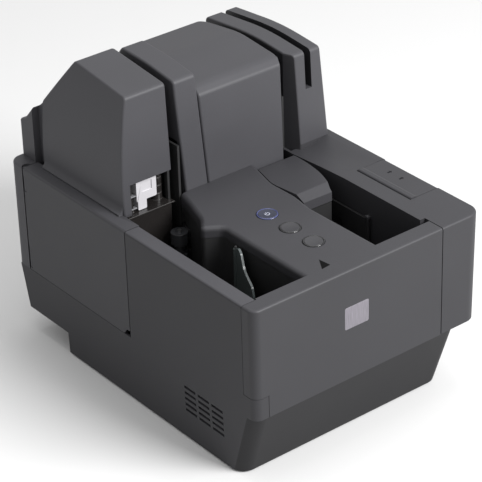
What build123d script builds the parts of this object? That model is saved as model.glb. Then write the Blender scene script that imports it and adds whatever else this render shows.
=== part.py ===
from build123d import *
from math import cos, radians

# Desk-top cheque scanner. Millimetres. The shapes are drawn with X from the left face, Y from the
# front face and Z up from the table, and are moved on export so that the origin is the middle of
# the footprint, on the table.

# ---- overall sizes ----
WIDTH = 230.0
DEPTH = 318.0
DECK_Z = 158.0            # top of the pocket rims and of the right deck
CREASE_Z = 61.5           # seam between the base case and the covers
TOWER_TOP_Z = 262.8
WALL = 2.5                # moulded covers
THIN = 2.0                # channel guides and inner walls
SEAM = 0.4                # gap between a cover and its fixed neighbour
CLEAR = 0.3               # gap round small moving pieces
RUN = 0.05                # radial running clearance of a pin in its hole
EDGE_R = 2.2              # soft outer edges of the covers
CROWN_R = 2.0             # soft edges of the tower, block, strip and column

# ---- base case ----
FOOT_H = 1.5
FOOT_R = 8.0
BASE_RIGHT = WIDTH - 22.5
BASE_TOE_Y = 22.0
BASE_FRONT_Y = 1.0
BASE_BACK_Y = DEPTH - 6.0
BASE_HEEL_Y = BASE_BACK_Y - 62.0
BASE_HEEL_Z = 21.0
BASE_HEEL_BACK_Y = BASE_BACK_Y - 7.0
BASE_LEAN = 2.0
BASE_CORNER_R = 12.0
SIDE_WALL_X = 14.5        # width of the left rim and ledge
FRONT_RIM_Y = 15.3
CORNER_X = 12.9
CORNER_Y = 14.0
CORNER_Z = 80.5
LEFT_FRONT_R = 7.0
RIGHT_FRONT_R = 13.0
REAR_R = 10.0
VENT_Y = 41.0
VENT_Z = 27.0
VENT_LONG = 14.0
VENT_HIGH = 2.4
VENT_PITCH_Y = 17.0
VENT_PITCH_Z = 5.4
VENT_COLUMNS = 3
VENT_ROWS = 5

# ---- track and its floor plate ----
BLOCK_LONG = 110.0        # centre block, front to back
BLOCK_BACK_Y = DEPTH - 31.0
BLOCK_Y = BLOCK_BACK_Y - BLOCK_LONG   # front of the centre block, tower and column at deck height
BLOCK_LEAN = 0.0467       # how far that front leans back per unit of height
BLOCK_FRONT_Z = 235.0     # top of the block at its front, along its crown and at its back
BLOCK_CREST_Z = 245.2
BLOCK_REAR_Z = 238.2
STRIP_FRONT_Z = 254.3     # the same of the narrow strip beside it
STRIP_CREST_Z = 260.3
FLOOR_Z = 97.0
PLATE = 3.0
GUIDE_TOP_Z = 200.5
TRACK_GAP = 5.5
TRACK_LEFT_X = 68.5       # inner wall of the left channel
TRACK_RIGHT_X = WIDTH - 51.5          # inner wall of the right channel
TURN_R = 40.0             # inner radius of the U-turn's corners
TURN_Y = BLOCK_BACK_Y - 33.5          # where the U-turn begins
LEAD_Y = BLOCK_Y + 12.0   # rear end of the slanted lead-in to the right channel
LEAD_DEEP = 8.4           # how far that lead-in slants to the right

# ---- screws, boards and sockets ----
SCREW_R = 1.4
SCREW_HEAD = 1.6
POST_R = 4.0
PLATE_POSTS = [(x, y, z) for x in (24.0, BASE_RIGHT - 12)
               for y, z in ((42.0, FOOT_H), (BASE_HEEL_Y - 8, FOOT_H),
                            (BASE_HEEL_BACK_Y - 13, BASE_HEEL_Z))]
BOARD_Z = 28.0
BOARD_T = 1.6
BOARD_X = (40.0, BASE_RIGHT - 22.5)
BOARD_Y = (60.0, BASE_HEEL_BACK_Y - 6)
BOARD_POSTS = [(x, y, z) for x in (BOARD_X[0] + 10, BOARD_X[1] - 15)
               for y, z in ((BOARD_Y[0] + 30, FOOT_H), (BOARD_Y[1] - 14, BASE_HEEL_Z))]
SOCKET_Y = BASE_HEEL_BACK_Y - 1.5     # mouth of the two sockets
SOCKET_H = 11.0
USB_HALF = 6.5            # half width of the USB socket's opening
USB_X = BASE_RIGHT - 57.5
INLET_X = USB_X - 32.0
INLET_R = 5.2

# ---- covers ----
LEFT_SEAM_Y = BLOCK_Y - 19.5
PIVOT_R = 3.5             # rounded rear end of each moving cover, about its hinge
PIVOT_Y = DEPTH - 21.5
OPEN_ANGLE = 50.0         # how far each moving cover swings out
HINGE_PIN_R = 1.2
KNUCKLES = [(64.0, 84.0), (136.0, 150.0)]
TOWER_X = 63.0
TOWER_FRONT_Z = 256.0     # top edge of the tower's front
TOWER_WAIST_Z = 216.5     # where its left side starts to bow in
BACK_EAVES_Z = 217.0      # rear edge of the roofs of tower and strip
WINDOW_X = 22.0           # left edge of the imprinter window
WINDOW_Z = (155.0, 182.0)
RIGHT_SEAM_X = WIDTH - 42.5
HOPPER_X = WIDTH - 47.0
HOPPER_REAR_X = WIDTH - 46.0
DIP_Z = 153.4             # deck height at the foot of the column
DIP_Y = BLOCK_Y - 67.0
COLUMN_X = WIDTH - 44.0
COLUMN_BACK_Y = BLOCK_BACK_Y + 4.0
SLOT_X = WIDTH - 28.5
SLOT_WIDE = 6.5
SLOT_Z = 205.5
COLUMN_FRONT_Z = 238.6    # top of the column at its front, middle and back
COLUMN_CREST_Z = 242.6
COLUMN_BACK_Z = 236.6
SIDE_DRAFT = 2.0          # how far the right side draws in from deck to crease
REAR_SIDE_X = 12.7        # left side of the raised rear section
REAR_BACK_Y = DEPTH - 2.0
REAR_TOP_Z = 207.5        # raised rear section at its front
REAR_LOW_Z = 191.0        # and at its back
LIP = 9.0                 # depth of the panel's turned-down lip
LIP_R = 4.0
PANEL_T = 3.0             # thickness of the panel between the pockets

# Outlines of the panel between the pockets, from the front rim to the block.
LEFT_PANEL = [(62.5, FRONT_RIM_Y), (62.5, BLOCK_Y - 64, 8), (47.6, BLOCK_Y - 53.7, 4),
              (57.5, BLOCK_Y - 41, 20), (65.7, BLOCK_Y - 14.6, 60), (69.0, BLOCK_Y - 0.6)]
RIGHT_PANEL = [(WIDTH - 85.6, BLOCK_Y - 0.6), (WIDTH - 94, BLOCK_Y - 33, 40),
               (WIDTH - 93.4, BLOCK_Y - 61.5, 30), (WIDTH - 97, BLOCK_Y - 84, 60),
               (WIDTH - 95.7, FRONT_RIM_Y)]
PANEL_SIDE = 7.5          # side wall of the panel's front mouth, left
PANEL_SIDE_RIGHT = 7.3    # and right

BADGE_X = (88.0, 112.0)
BADGE_Z = (106.5, 126.0)
BADGE_T = 1.0

# ---- feed unit ----
FEED_FRONT_Y = BLOCK_Y - 71.0
FEED_FACE = [(WIDTH - 63.2, BLOCK_Y - 67.9), (WIDTH - 58.6, BLOCK_Y - 57.7, 40),
             (WIDTH - 55, BLOCK_Y - 48.6, 40), (WIDTH - 52.1, BLOCK_Y - 39, 60),
             (WIDTH - 49.2, BLOCK_Y - 25.5, 80), (WIDTH - 46.9, BLOCK_Y - 9, 60),
             (WIDTH - 46.8, BLOCK_Y - 2)]
FEED_LEFT = [(WIDTH - 83.8, BLOCK_Y - 2), (WIDTH - 93.2, BLOCK_Y - 32, 40),
             (WIDTH - 92.6, BLOCK_Y - 61.1, 30), (WIDTH - 92.8, FEED_FRONT_Y)]
LID_AXIS = (BLOCK_Y - 3.5, 150.2)     # Y and Z of the lid's hinge
LID_SKIRT_Z = 146.0
LID_LUGS = (WIDTH - 78.0, WIDTH - 62.0)
LID_PIN_R = 1.0
LID_LUG_R = 2.2

# ---- moving pieces ----
BUTTON_R = 8.7
BUTTON_X = 100.2
BUTTON_PITCH = 27.9
BUTTON_MID_Y = (FRONT_RIM_Y + BLOCK_Y) / 2 - 18.0
BUTTONS = [("power", BUTTON_X, BUTTON_MID_Y + BUTTON_PITCH), ("menu", BUTTON_X, BUTTON_MID_Y),
           ("eject", BUTTON_X, BUTTON_MID_Y - BUTTON_PITCH)]
BUTTON_RISE = 0.8
BUTTON_BOARD_Z = 141.0
LEVER_X = WIDTH - 30.0
LEVER_Y = (BLOCK_Y - 127.0, BLOCK_Y - 63.5)
LEVER_R = 3.6
LEVER_T = 2.8
LEVER_GAP = 1.2           # wider gap at the lever's grip
LEVER_LIP = 0.7           # how far the grip stands proud
LEVER_PIN_R = 1.2
CRADLE_Z = 154.4
CARTRIDGE_X = (30.2, 39.8, 49.7)      # left side, neck and right side
CARTRIDGE_STEP_Z = 162.5
CARTRIDGE_TOP_Z = 181.3
CARTRIDGE_LONG = 40.0
FLAP_AT = (60.4, BLOCK_Y - 81.0)
FLAP_ANGLE = 17.4
FLAP_PIN_R = 1.0
PRESSER_AT = (WIDTH - 48.7, BLOCK_Y - 97.0)
PRESSER_LONG = 44.0
PRESSER_PIN_R = 0.8

# ---- rollers ----
DRIVE_R = 8.0
IDLER_R = 7.0
SHAFT_R = 2.0
NIP = 0.4
TYRE_Z = [(104.0, 114.0), (122.0, 132.0)]
WINDOW_GAP = 1.0          # room round a tyre in its window
LUG = 4.5                 # half width of the lugs that hold an idler's pin
PULLEY_R = 6.0
PULLEY_Z = (84.0, 92.0)
PICK_PULLEY_Z = (74.0, 82.0)
BELT_T = 1.2
NIP_RIGHT_X = TRACK_RIGHT_X + TRACK_GAP / 2
NIP_LEFT_X = TRACK_LEFT_X - TRACK_GAP / 2
NIP_REAR_Y = TURN_Y + TURN_R + TRACK_GAP / 2
ROLLER_Y = BLOCK_Y + 28.0
GATE_Y = BLOCK_Y - 17.0
EXIT_Y = BLOCK_Y - 11.0
TURN_X = (TRACK_LEFT_X + TURN_R, TRACK_RIGHT_X - TURN_R)
MID_X = (TRACK_LEFT_X + TRACK_RIGHT_X) / 2
GATE_X = HOPPER_REAR_X - 0.5
DRIVEN = {
    "right": (NIP_RIGHT_X - NIP / 2 - DRIVE_R, ROLLER_Y),
    "rear": (MID_X, NIP_REAR_Y - NIP / 2 - DRIVE_R),
    "left": (NIP_LEFT_X + NIP / 2 + DRIVE_R, ROLLER_Y),
    "exit": (NIP_LEFT_X + NIP / 2 + DRIVE_R, EXIT_Y),
    "feed": (GATE_X - NIP / 2 - DRIVE_R, GATE_Y),
}
PICK_AT = (WIDTH - 65.5, BLOCK_Y - 55.0)
RETARD_AT = (GATE_X + NIP / 2 + IDLER_R, GATE_Y)
IDLERS = {
    "right": (NIP_RIGHT_X + NIP / 2 + IDLER_R, ROLLER_Y),
    "rear": (MID_X, NIP_REAR_Y + NIP / 2 + IDLER_R),
    "left": (NIP_LEFT_X - NIP / 2 - IDLER_R, ROLLER_Y),
    "exit": (NIP_LEFT_X - NIP / 2 - IDLER_R, EXIT_Y),
}
MOTOR_AT = (WIDTH - 116.0, BLOCK_Y - 45.0)
MOTOR_R = 17.5
MOTOR_TOP_Z = 130.0

# ---- scan heads ----
SENSOR_Y = (ROLLER_Y + 19.0, ROLLER_Y + 33.0)
SENSOR_Z = (100.0, GUIDE_TOP_Z - 3.5)
SENSOR_DEEP = 10.0
GLASS_T = 1.6


def outline(points):
    """A flat face from corner points (u, v) or, with a rounded corner, (u, v, radius)."""
    shape = make_face(Polyline(*[(p[0], p[1]) for p in points], close=True))
    for p in points:
        if len(p) > 2:
            corner = shape.vertices().sort_by_distance((p[0], p[1], 0))[0]
            shape = fillet(corner, p[2])
    return shape


def plan(points, z0, z1):
    """Pull an (x, y) outline up from z0 to z1."""
    return extrude(Pos(0, 0, z0) * outline(points), amount=z1 - z0)


def side(points, x0, x1):
    """Pull a (y, z) outline across from x0 to x1."""
    return extrude(Plane.YZ.offset(x0) * outline(points), amount=x1 - x0)


def front(points, y0, y1):
    """Pull an (x, z) outline back from y0 to y1."""
    return extrude(Plane.XZ.offset(-y1) * outline(points), amount=y1 - y0)


def box(x0, x1, y0, y1, z0, z1):
    """A block between two corners."""
    return Pos((x0 + x1) / 2, (y0 + y1) / 2, (z0 + z1) / 2) * Box(x1 - x0, y1 - y0, z1 - z0)


def post(x, y, z0, z1, r):
    """An upright cylinder."""
    return Pos(x, y, (z0 + z1) / 2) * Cylinder(r, z1 - z0)


def bar(x0, x1, y, z, r):
    """A cylinder lying along X."""
    return Pos((x0 + x1) / 2, y, z) * Rot(0, 90, 0) * Cylinder(r, x1 - x0)


def rod(x, y0, y1, z, r):
    """A cylinder lying along Y."""
    return Pos(x, (y0 + y1) / 2, z) * Rot(90, 0, 0) * Cylinder(r, y1 - y0)


def block_front_y(z):
    """Y of the leaning front of the tower, block and column at height z."""
    return BLOCK_Y + (z - DECK_Z) * BLOCK_LEAN


def save(name, shape):
    """Write one node, moved so that the origin is the middle of the footprint."""
    export_step(Pos(-WIDTH / 2, -DEPTH / 2, 0) * shape, f"parts/{name}.step")


# ---- base case ----
def tub_form(inset, top):
    """The tapered tub, with every wall moved in by inset, up to height top."""
    rise = (top - CREASE_Z) / (CREASE_Z - FOOT_H)
    front_top = BASE_FRONT_Y - (BASE_TOE_Y - BASE_FRONT_Y) * rise
    back_top = BASE_BACK_Y + (BASE_BACK_Y - BASE_HEEL_BACK_Y) * rise
    profile = [
        (BASE_TOE_Y + inset, FOOT_H + inset),
        (front_top + inset, top),
        (back_top - inset, top),
        (BASE_HEEL_BACK_Y - inset, BASE_HEEL_Z + inset),
        (BASE_HEEL_Y - inset, BASE_HEEL_Z + inset),
        (BASE_HEEL_Y - inset, FOOT_H + inset),
    ]
    across = [
        (BASE_LEAN + inset, FOOT_H),
        (inset - BASE_LEAN * rise, top),
        (BASE_RIGHT - inset, top),
        (BASE_RIGHT - inset, FOOT_H),
    ]
    form = side(profile, -5, BASE_RIGHT) & front(across, -5, DEPTH)
    corners = form.edges().filter_by(lambda e: e.center().Y < BASE_TOE_Y and abs((e @ 1 - e @ 0).Z) > 20)
    return fillet(corners, BASE_CORNER_R - inset)


def base_case():
    tub = tub_form(0, CREASE_Z) - tub_form(WALL, CREASE_Z + 3)
    wall_end = LEFT_SEAM_Y - SEAM
    rim = plan([(0, CORNER_Y), (SIDE_WALL_X, CORNER_Y), (SIDE_WALL_X, wall_end), (0, wall_end)],
               CREASE_Z, DECK_Z)
    top_edges = rim.edges().filter_by(Axis.Y).group_by(Axis.Z)[-1]
    rim = fillet(top_edges, EDGE_R)
    rim -= box(WALL, SIDE_WALL_X - WALL, CORNER_Y + WALL, wall_end - WALL, CREASE_Z - 1, DECK_Z - WALL)
    rim -= box(WALL, SIDE_WALL_X + 1, CORNER_Y + WALL, wall_end + 1, CREASE_Z - 1, FLOOR_Z - PLATE - 1)
    corner = plan([(0, 0, LEFT_FRONT_R), (CORNER_X, 0), (CORNER_X, CORNER_Y), (0, CORNER_Y)],
                  CREASE_Z, CORNER_Z)
    corner -= box(WALL, CORNER_X - WALL, WALL, CORNER_Y + WALL, CREASE_Z - 1, CORNER_Z - WALL)
    case = tub + rim + corner
    for column in range(VENT_COLUMNS):
        for row in range(VENT_ROWS):
            y = VENT_Y + column * VENT_PITCH_Y
            z = VENT_Z + row * VENT_PITCH_Z
            case -= box(-1, 6, y, y + VENT_LONG, z, z + VENT_HIGH)
    for x, y, z in PLATE_POSTS:
        case += post(x, y, z + 1, FLOOR_Z - PLATE, POST_R)
        case -= post(x, y, FLOOR_Z - PLATE - 20, FLOOR_Z, SCREW_R)
    for x, y, z in BOARD_POSTS:
        case += post(x, y, z + 1, BOARD_Z, POST_R - 1)
    board_top = BOARD_Z + BOARD_T
    case -= box(USB_X - USB_HALF, USB_X + USB_HALF, SOCKET_Y - 3.5, DEPTH, board_top,
                board_top + SOCKET_H + 1)
    case -= rod(INLET_X, SOCKET_Y - 3.5, DEPTH, board_top + 6, INLET_R)
    return case


# ---- fixed covers ----

def front_cover():
    top = plan([(0, 0, LEFT_FRONT_R), (RIGHT_SEAM_X - SEAM, 0), (RIGHT_SEAM_X - SEAM, FRONT_RIM_Y),
                (0, FRONT_RIM_Y)], CREASE_Z, DECK_Z)
    top = top - box(-1, CORNER_X + SEAM, -1, FRONT_RIM_Y + 1, CREASE_Z - 1, CORNER_Z + SEAM)
    top -= box(-1, SIDE_WALL_X, CORNER_Y - SEAM, FRONT_RIM_Y + 1, CREASE_Z - 1, DECK_Z + 1)
    hollow = box(CORNER_X + WALL, RIGHT_SEAM_X - SEAM - WALL, WALL, FRONT_RIM_Y - WALL, CREASE_Z - 1,
                 DECK_Z - WALL)
    hollow += box(WALL, CORNER_X + WALL, WALL, CORNER_Y - WALL, CORNER_Z - 1, DECK_Z - WALL)
    hollow += box(SIDE_WALL_X, RIGHT_SEAM_X, WALL, FRONT_RIM_Y + 1, CREASE_Z - 1, FLOOR_Z)
    top -= hollow
    edge = top.edges().filter_by(Axis.X).group_by(Axis.Z)[-1].sort_by(Axis.Y)[0]
    top = fillet(edge, EDGE_R)
    panel_face = outline(LEFT_PANEL + RIGHT_PANEL)
    panel = extrude(Pos(0, 0, DECK_Z - LIP) * panel_face, amount=LIP)
    rounded = panel.edges().filter_by(
        lambda e: e.center().Z > DECK_Z - 0.1 and FRONT_RIM_Y + 0.1 < e.center().Y < BLOCK_Y - 1)
    panel = fillet(rounded, LIP_R)
    underside = offset(panel_face, -THIN - LIP_R / 3)
    panel -= extrude(Pos(0, 0, DECK_Z - LIP - 1) * underside, amount=LIP + 1 - PANEL_T)
    cover = top + panel
    cover -= box(LEFT_PANEL[0][0] + PANEL_SIDE, RIGHT_PANEL[-1][0] - PANEL_SIDE_RIGHT,
                 FRONT_RIM_Y - WALL - 1, FRONT_RIM_Y + WALL + 1, FLOOR_Z, DECK_Z - WALL)
    for name, x, y in BUTTONS:
        cover -= post(x, y, DECK_Z - 20, DECK_Z + 1, BUTTON_R + CLEAR)
    return cover - badge_plate()


def core_wall():
    """The dark wall under the panel's lip, between the two pockets."""
    ring = offset(outline(LEFT_PANEL + RIGHT_PANEL), -0.6)
    wall = extrude(Pos(0, 0, FLOOR_Z) * (ring - offset(ring, -THIN)), amount=DECK_Z - LIP - FLOOR_Z)
    x, y = DRIVEN["exit"]
    wall -= post(x, y, TYRE_Z[0][0] - 2, TYRE_Z[1][1] + 2, DRIVE_R + 1)
    return wall


# ---- feed unit ----
def feed_outline(inset):
    """Plan of the feed unit, moved in by inset."""
    face = outline([(165.7, FEED_FRONT_Y - 0.7)] + FEED_FACE + FEED_LEFT)
    return offset(face, -inset) if inset else face


def feed_housing():
    """The funnel wall below the lid, open towards the rollers."""
    top = LID_SKIRT_Z - 0.7
    face = feed_outline(CLEAR)
    wall = extrude(Pos(0, 0, FLOOR_Z) * (face - feed_outline(CLEAR + THIN)), amount=top - FLOOR_Z)
    wall += extrude(Pos(0, 0, top - THIN) * face, amount=THIN)
    low = TYRE_Z[0][0] - 2
    high = TYRE_Z[1][1] + 2
    for x, y in (PICK_AT, DRIVEN["feed"]):
        wall -= post(x, y, low, high, DRIVE_R + 1)
    y, z = LID_AXIS
    for x in LID_LUGS:
        wall += box(x, x + 3, y - LID_LUG_R, y + 0.6, top - 1, z) + bar(x, x + 3, y, z, LID_LUG_R)
    wall -= bar(LID_LUGS[0] - 2, LID_LUGS[1] + 5, y, z, LID_PIN_R)
    return wall


def feed_cover():
    """The hinged lid over the feed rollers: chamfered front, top falling back to the block."""
    y, z = LID_AXIS
    back = BLOCK_Y - 2
    profile = [(FEED_FRONT_Y - 2, LID_SKIRT_Z), (FEED_FRONT_Y - 0.5, DECK_Z - 4),
               (FEED_FRONT_Y + 9, DECK_Z, 3), (back, DIP_Z, 2.4), (back, LID_SKIRT_Z)]
    height = DECK_Z + 1 - LID_SKIRT_Z
    solid = extrude(Pos(0, 0, LID_SKIRT_Z) * feed_outline(0), amount=height) & side(profile, 0, WIDTH)
    inner_profile = [(FEED_FRONT_Y, LID_SKIRT_Z - 1), (FEED_FRONT_Y + 2, DECK_Z - 5.5),
                     (FEED_FRONT_Y + 9.6, DECK_Z - WALL), (back + 3, DIP_Z - WALL),
                     (back + 3, LID_SKIRT_Z - 1)]
    inner = extrude(Pos(0, 0, LID_SKIRT_Z - 1) * feed_outline(THIN), amount=height)
    lid = solid - (inner & side(inner_profile, 0, WIDTH))
    lid -= box(FEED_LEFT[1][0] - 5, WIDTH, y - 4, y + 6, LID_SKIRT_Z - 1, z - LID_LUG_R - 0.2)
    for x in LID_LUGS:
        right = x + 3 + CLEAR
        lid -= bar(x - CLEAR, right, y, z, 2.6) + box(x - CLEAR, right, y, y + 6, LID_SKIRT_Z, z)
        lid += (bar(right, x + 6, y, z, 2.4) + box(right, x + 6, y - 2.4, y + 1.2, z, z + 1.6))
    lid -= bar(LID_LUGS[0] - 3, LID_LUGS[1] + 7, y, z, LID_PIN_R + RUN)
    return lid


def lid_pin():
    y, z = LID_AXIS
    return bar(LID_LUGS[0] - 1, LID_LUGS[1] + 6, y, z, LID_PIN_R)


# ---- centre block ----
def block_form(inset):
    """The main block: leaning front, crowned top, chamfered front corner and rounded rear one."""
    base = FLOOR_Z - 1 if inset else FLOOR_Z
    back = BLOCK_BACK_Y - inset
    right = TRACK_RIGHT_X - inset
    sides = [(BLOCK_Y + inset, base), (BLOCK_Y + inset, DECK_Z),
             (block_front_y(BLOCK_FRONT_Z) + inset, BLOCK_FRONT_Z - inset, 5 - inset),
             (BLOCK_Y + 10.7 + inset, 241.1 - inset, 12), (BLOCK_Y + 57, BLOCK_CREST_Z - inset, 90),
             (back, BLOCK_REAR_Z - inset, 5 - inset), (back, base)]
    across = [(101.2 + inset, base), (92.5 + inset, 255), (right, 255), (right, base)]
    seen = [(80, BLOCK_Y - 7), (right - 3.5, BLOCK_Y - 7), (right - 3.5, BLOCK_Y),
            (TRACK_RIGHT_X - inset, BLOCK_Y + 10.7), (TRACK_RIGHT_X - inset, BLOCK_BACK_Y + 3, 16),
            (80, BLOCK_BACK_Y + 3)]
    return side(sides, 80, WIDTH) & front(across, BLOCK_Y - 7, DEPTH) & plan(seen, base, 250)


def block_cover():
    solid = block_form(0)
    outer_edges = solid.edges().filter_by(
        lambda e: abs(e.center().X - TRACK_RIGHT_X) < 0.1 and e.center().Z > DECK_Z + 12
        and abs(e.center().Y - BLOCK_Y) > 2)
    inner_edges = solid.edges().filter_by(lambda e: e.center().X < 97 and e.center().Z > DECK_Z + 7)
    shell = fillet(outer_edges + inner_edges, CROWN_R) - block_form(WALL)
    return shell - box(80, WIDTH, BLOCK_Y + 11.2, DEPTH, FLOOR_Z - 2, GUIDE_TOP_Z)


def strip_form(inset):
    """The taller narrow cover beside the block, leaning a little to the left."""
    base = FLOOR_Z - 1 if inset else FLOOR_Z
    back = BLOCK_BACK_Y - inset
    sides = [(BLOCK_Y + inset, base), (BLOCK_Y + inset, DECK_Z),
             (block_front_y(STRIP_FRONT_Z) + inset, STRIP_FRONT_Z - inset, 4 - inset),
             (BLOCK_Y + 38, 259.0 - inset, 200), (BLOCK_Y + 71.5 - inset / 2, STRIP_CREST_Z - inset, 6),
             (back, BACK_EAVES_Z - inset / 2), (back, base)]
    across = [(78.5 + inset, base), (69.9 + inset, 262), (91.6 - inset, 262), (100.9 - inset, base)]
    return side(sides, 60, 105) & front(across, BLOCK_Y - 7, DEPTH)


def block_strip():
    solid = strip_form(0)
    edges = solid.edges().filter_by(lambda e: e.center().Z > DECK_Z - 8 and abs(e.tangent_at(0.5).X) < 0.5
                                    and e.center().Y < BLOCK_BACK_Y - 1)
    shell = fillet(edges, CROWN_R) - strip_form(WALL)
    return shell - box(60, 110, BLOCK_Y + 7, DEPTH, FLOOR_Z - 2, GUIDE_TOP_Z)


# ---- document track ----
def track_band(inner, outer):
    """Plan of a U-shaped band between two distances outside the corner centres' line."""
    middle = BLOCK_Y - 77
    left, right = TURN_X
    centre_line = outline([(left, middle), (right, middle), (right, TURN_Y), (left, TURN_Y)])
    band = offset(centre_line, outer) - offset(centre_line, inner)
    return band


def guide_windows():
    """Openings for the tyres and the scan glass."""
    low = TYRE_Z[0][0] - 2
    high = TYRE_Z[1][1] + 2
    cut = None
    for name in ("right", "rear", "left"):
        for x, y in (DRIVEN[name], IDLERS[name]):
            cutter = post(x, y, low, high, DRIVE_R + WINDOW_GAP)
            cut = cutter if cut is None else cut + cutter
    return cut


def inner_guide():
    band = extrude(Pos(0, 0, FLOOR_Z) * track_band(TURN_R - THIN, TURN_R), amount=GUIDE_TOP_Z - FLOOR_Z)
    band -= box(0, WIDTH, 0, BLOCK_Y + 11.5, FLOOR_Z - 1, GUIDE_TOP_Z + 1)
    left_end = box(TRACK_LEFT_X, TRACK_LEFT_X + THIN, BLOCK_Y + 0.4, BLOCK_Y + 12, FLOOR_Z, GUIDE_TOP_Z)
    window = box(TRACK_RIGHT_X - THIN - 1, TRACK_RIGHT_X + 1, SENSOR_Y[0], SENSOR_Y[1],
                 SENSOR_Z[0], SENSOR_Z[1])
    return band + left_end - guide_windows() - window


def rear_guide():
    outer = TURN_R + TRACK_GAP
    band = extrude(Pos(0, 0, FLOOR_Z) * track_band(outer, outer + THIN), amount=GUIDE_TOP_Z - FLOOR_Z)
    band -= box(0, WIDTH, 0, TURN_Y, FLOOR_Z - 1, GUIDE_TOP_Z + 1)
    return band - guide_windows()


def yoke(name, wall_x):
    """Two lugs that carry an idler's pin beside a channel wall at wall_x."""
    x, y = IDLERS[name]
    reach = x + LUG + 0.5 if x > wall_x else x - LUG - 0.5
    low = TYRE_Z[0][0] - 3
    high = TYRE_Z[1][1] + 1
    lugs = None
    for z in (low - THIN, high + THIN):
        lug = box(min(wall_x, reach), max(wall_x, reach), y - LUG, y + LUG, z, z + THIN)
        lugs = lug if lugs is None else lugs + lug
    return lugs - post(x, y, 0, 300, SHAFT_R)


def left_guide():
    x = TRACK_LEFT_X - TRACK_GAP
    wall = box(x - THIN, x, BLOCK_Y + 5, TURN_Y - CLEAR, FLOOR_Z + SEAM, GUIDE_TOP_Z)
    wall -= guide_windows()
    wall -= box(x - THIN - 1, x + 1, BLOCK_Y + 9, BLOCK_Y + 17, 150, 176)
    return wall + yoke("left", x - THIN)


def right_guide():
    x = TRACK_RIGHT_X + TRACK_GAP
    wall = box(x, x + THIN, LEAD_Y, TURN_Y - CLEAR, FLOOR_Z + SEAM, GUIDE_TOP_Z)
    wall -= guide_windows()
    wall -= box(x - 1, x + THIN + 1, SENSOR_Y[0], SENSOR_Y[1], SENSOR_Z[0], SENSOR_Z[1])
    return wall + yoke("right", x + THIN)


def chassis_plate():
    """The steel plate that is the floor of both pockets and of the track."""
    plate = box(SIDE_WALL_X + 0.5, BASE_RIGHT - WALL, FRONT_RIM_Y + 0.5, BASE_BACK_Y + 1,
                FLOOR_Z - PLATE, FLOOR_Z)
    for x, y in list(DRIVEN.values()) + [PICK_AT]:
        plate -= post(x, y, FLOOR_Z - PLATE - 1, FLOOR_Z + 1, SHAFT_R + RUN)
    plate -= post(MOTOR_AT[0], MOTOR_AT[1], FLOOR_Z - PLATE - 1, FLOOR_Z + 1, 4)
    plate -= post(FLAP_AT[0], FLAP_AT[1], FLOOR_Z - PLATE - 1, FLOOR_Z + 1, FLAP_PIN_R)
    for x, y, z in PLATE_POSTS:
        plate -= post(x, y, FLOOR_Z - PLATE - 1, FLOOR_Z + 1, SCREW_R)
        plate -= post(x, y, FLOOR_Z - SCREW_HEAD, FLOOR_Z + 1, 2 * SCREW_R)
    return plate


# ---- rear cover ----
def pivot_x(hand):
    """X of the left (-1) or right (+1) cover's hinge axis."""
    return PIVOT_R if hand < 0 else WIDTH - PIVOT_R


def rear_section(inset):
    """The raised section behind the tower: its top falls to the rear in one soft curve."""
    y0 = PIVOT_Y + SEAM + inset
    x0 = REAR_SIDE_X + inset
    base = DECK_Z - 5
    back = REAR_BACK_Y - inset
    fall = [(y0, base), (y0, REAR_TOP_Z - inset), (back - 7, REAR_LOW_Z + 3 - inset, 12),
            (back, REAR_LOW_Z - inset, 2 - inset / 2), (back, base)]
    return side(fall, x0, WIDTH - x0)


def rear_shoulders():
    """The recessed steps between that section and the backs of the tower and the column."""
    left_y, right_y, end_y = BLOCK_BACK_Y + SEAM, COLUMN_BACK_Y + SEAM, PIVOT_Y + 1
    foot = DECK_Z - 1
    left = [(left_y, foot), (left_y, REAR_TOP_Z + 7.5), (end_y, REAR_TOP_Z - 1.5), (end_y, foot)]
    right = [(right_y, foot), (right_y, SLOT_Z - 1), (end_y, SLOT_Z - 1), (end_y, foot)]
    return side(left, SIDE_WALL_X + 4.5, TOWER_X - 6) + side(right, COLUMN_X + 3, WIDTH - SIDE_WALL_X - 4.5)


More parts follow.
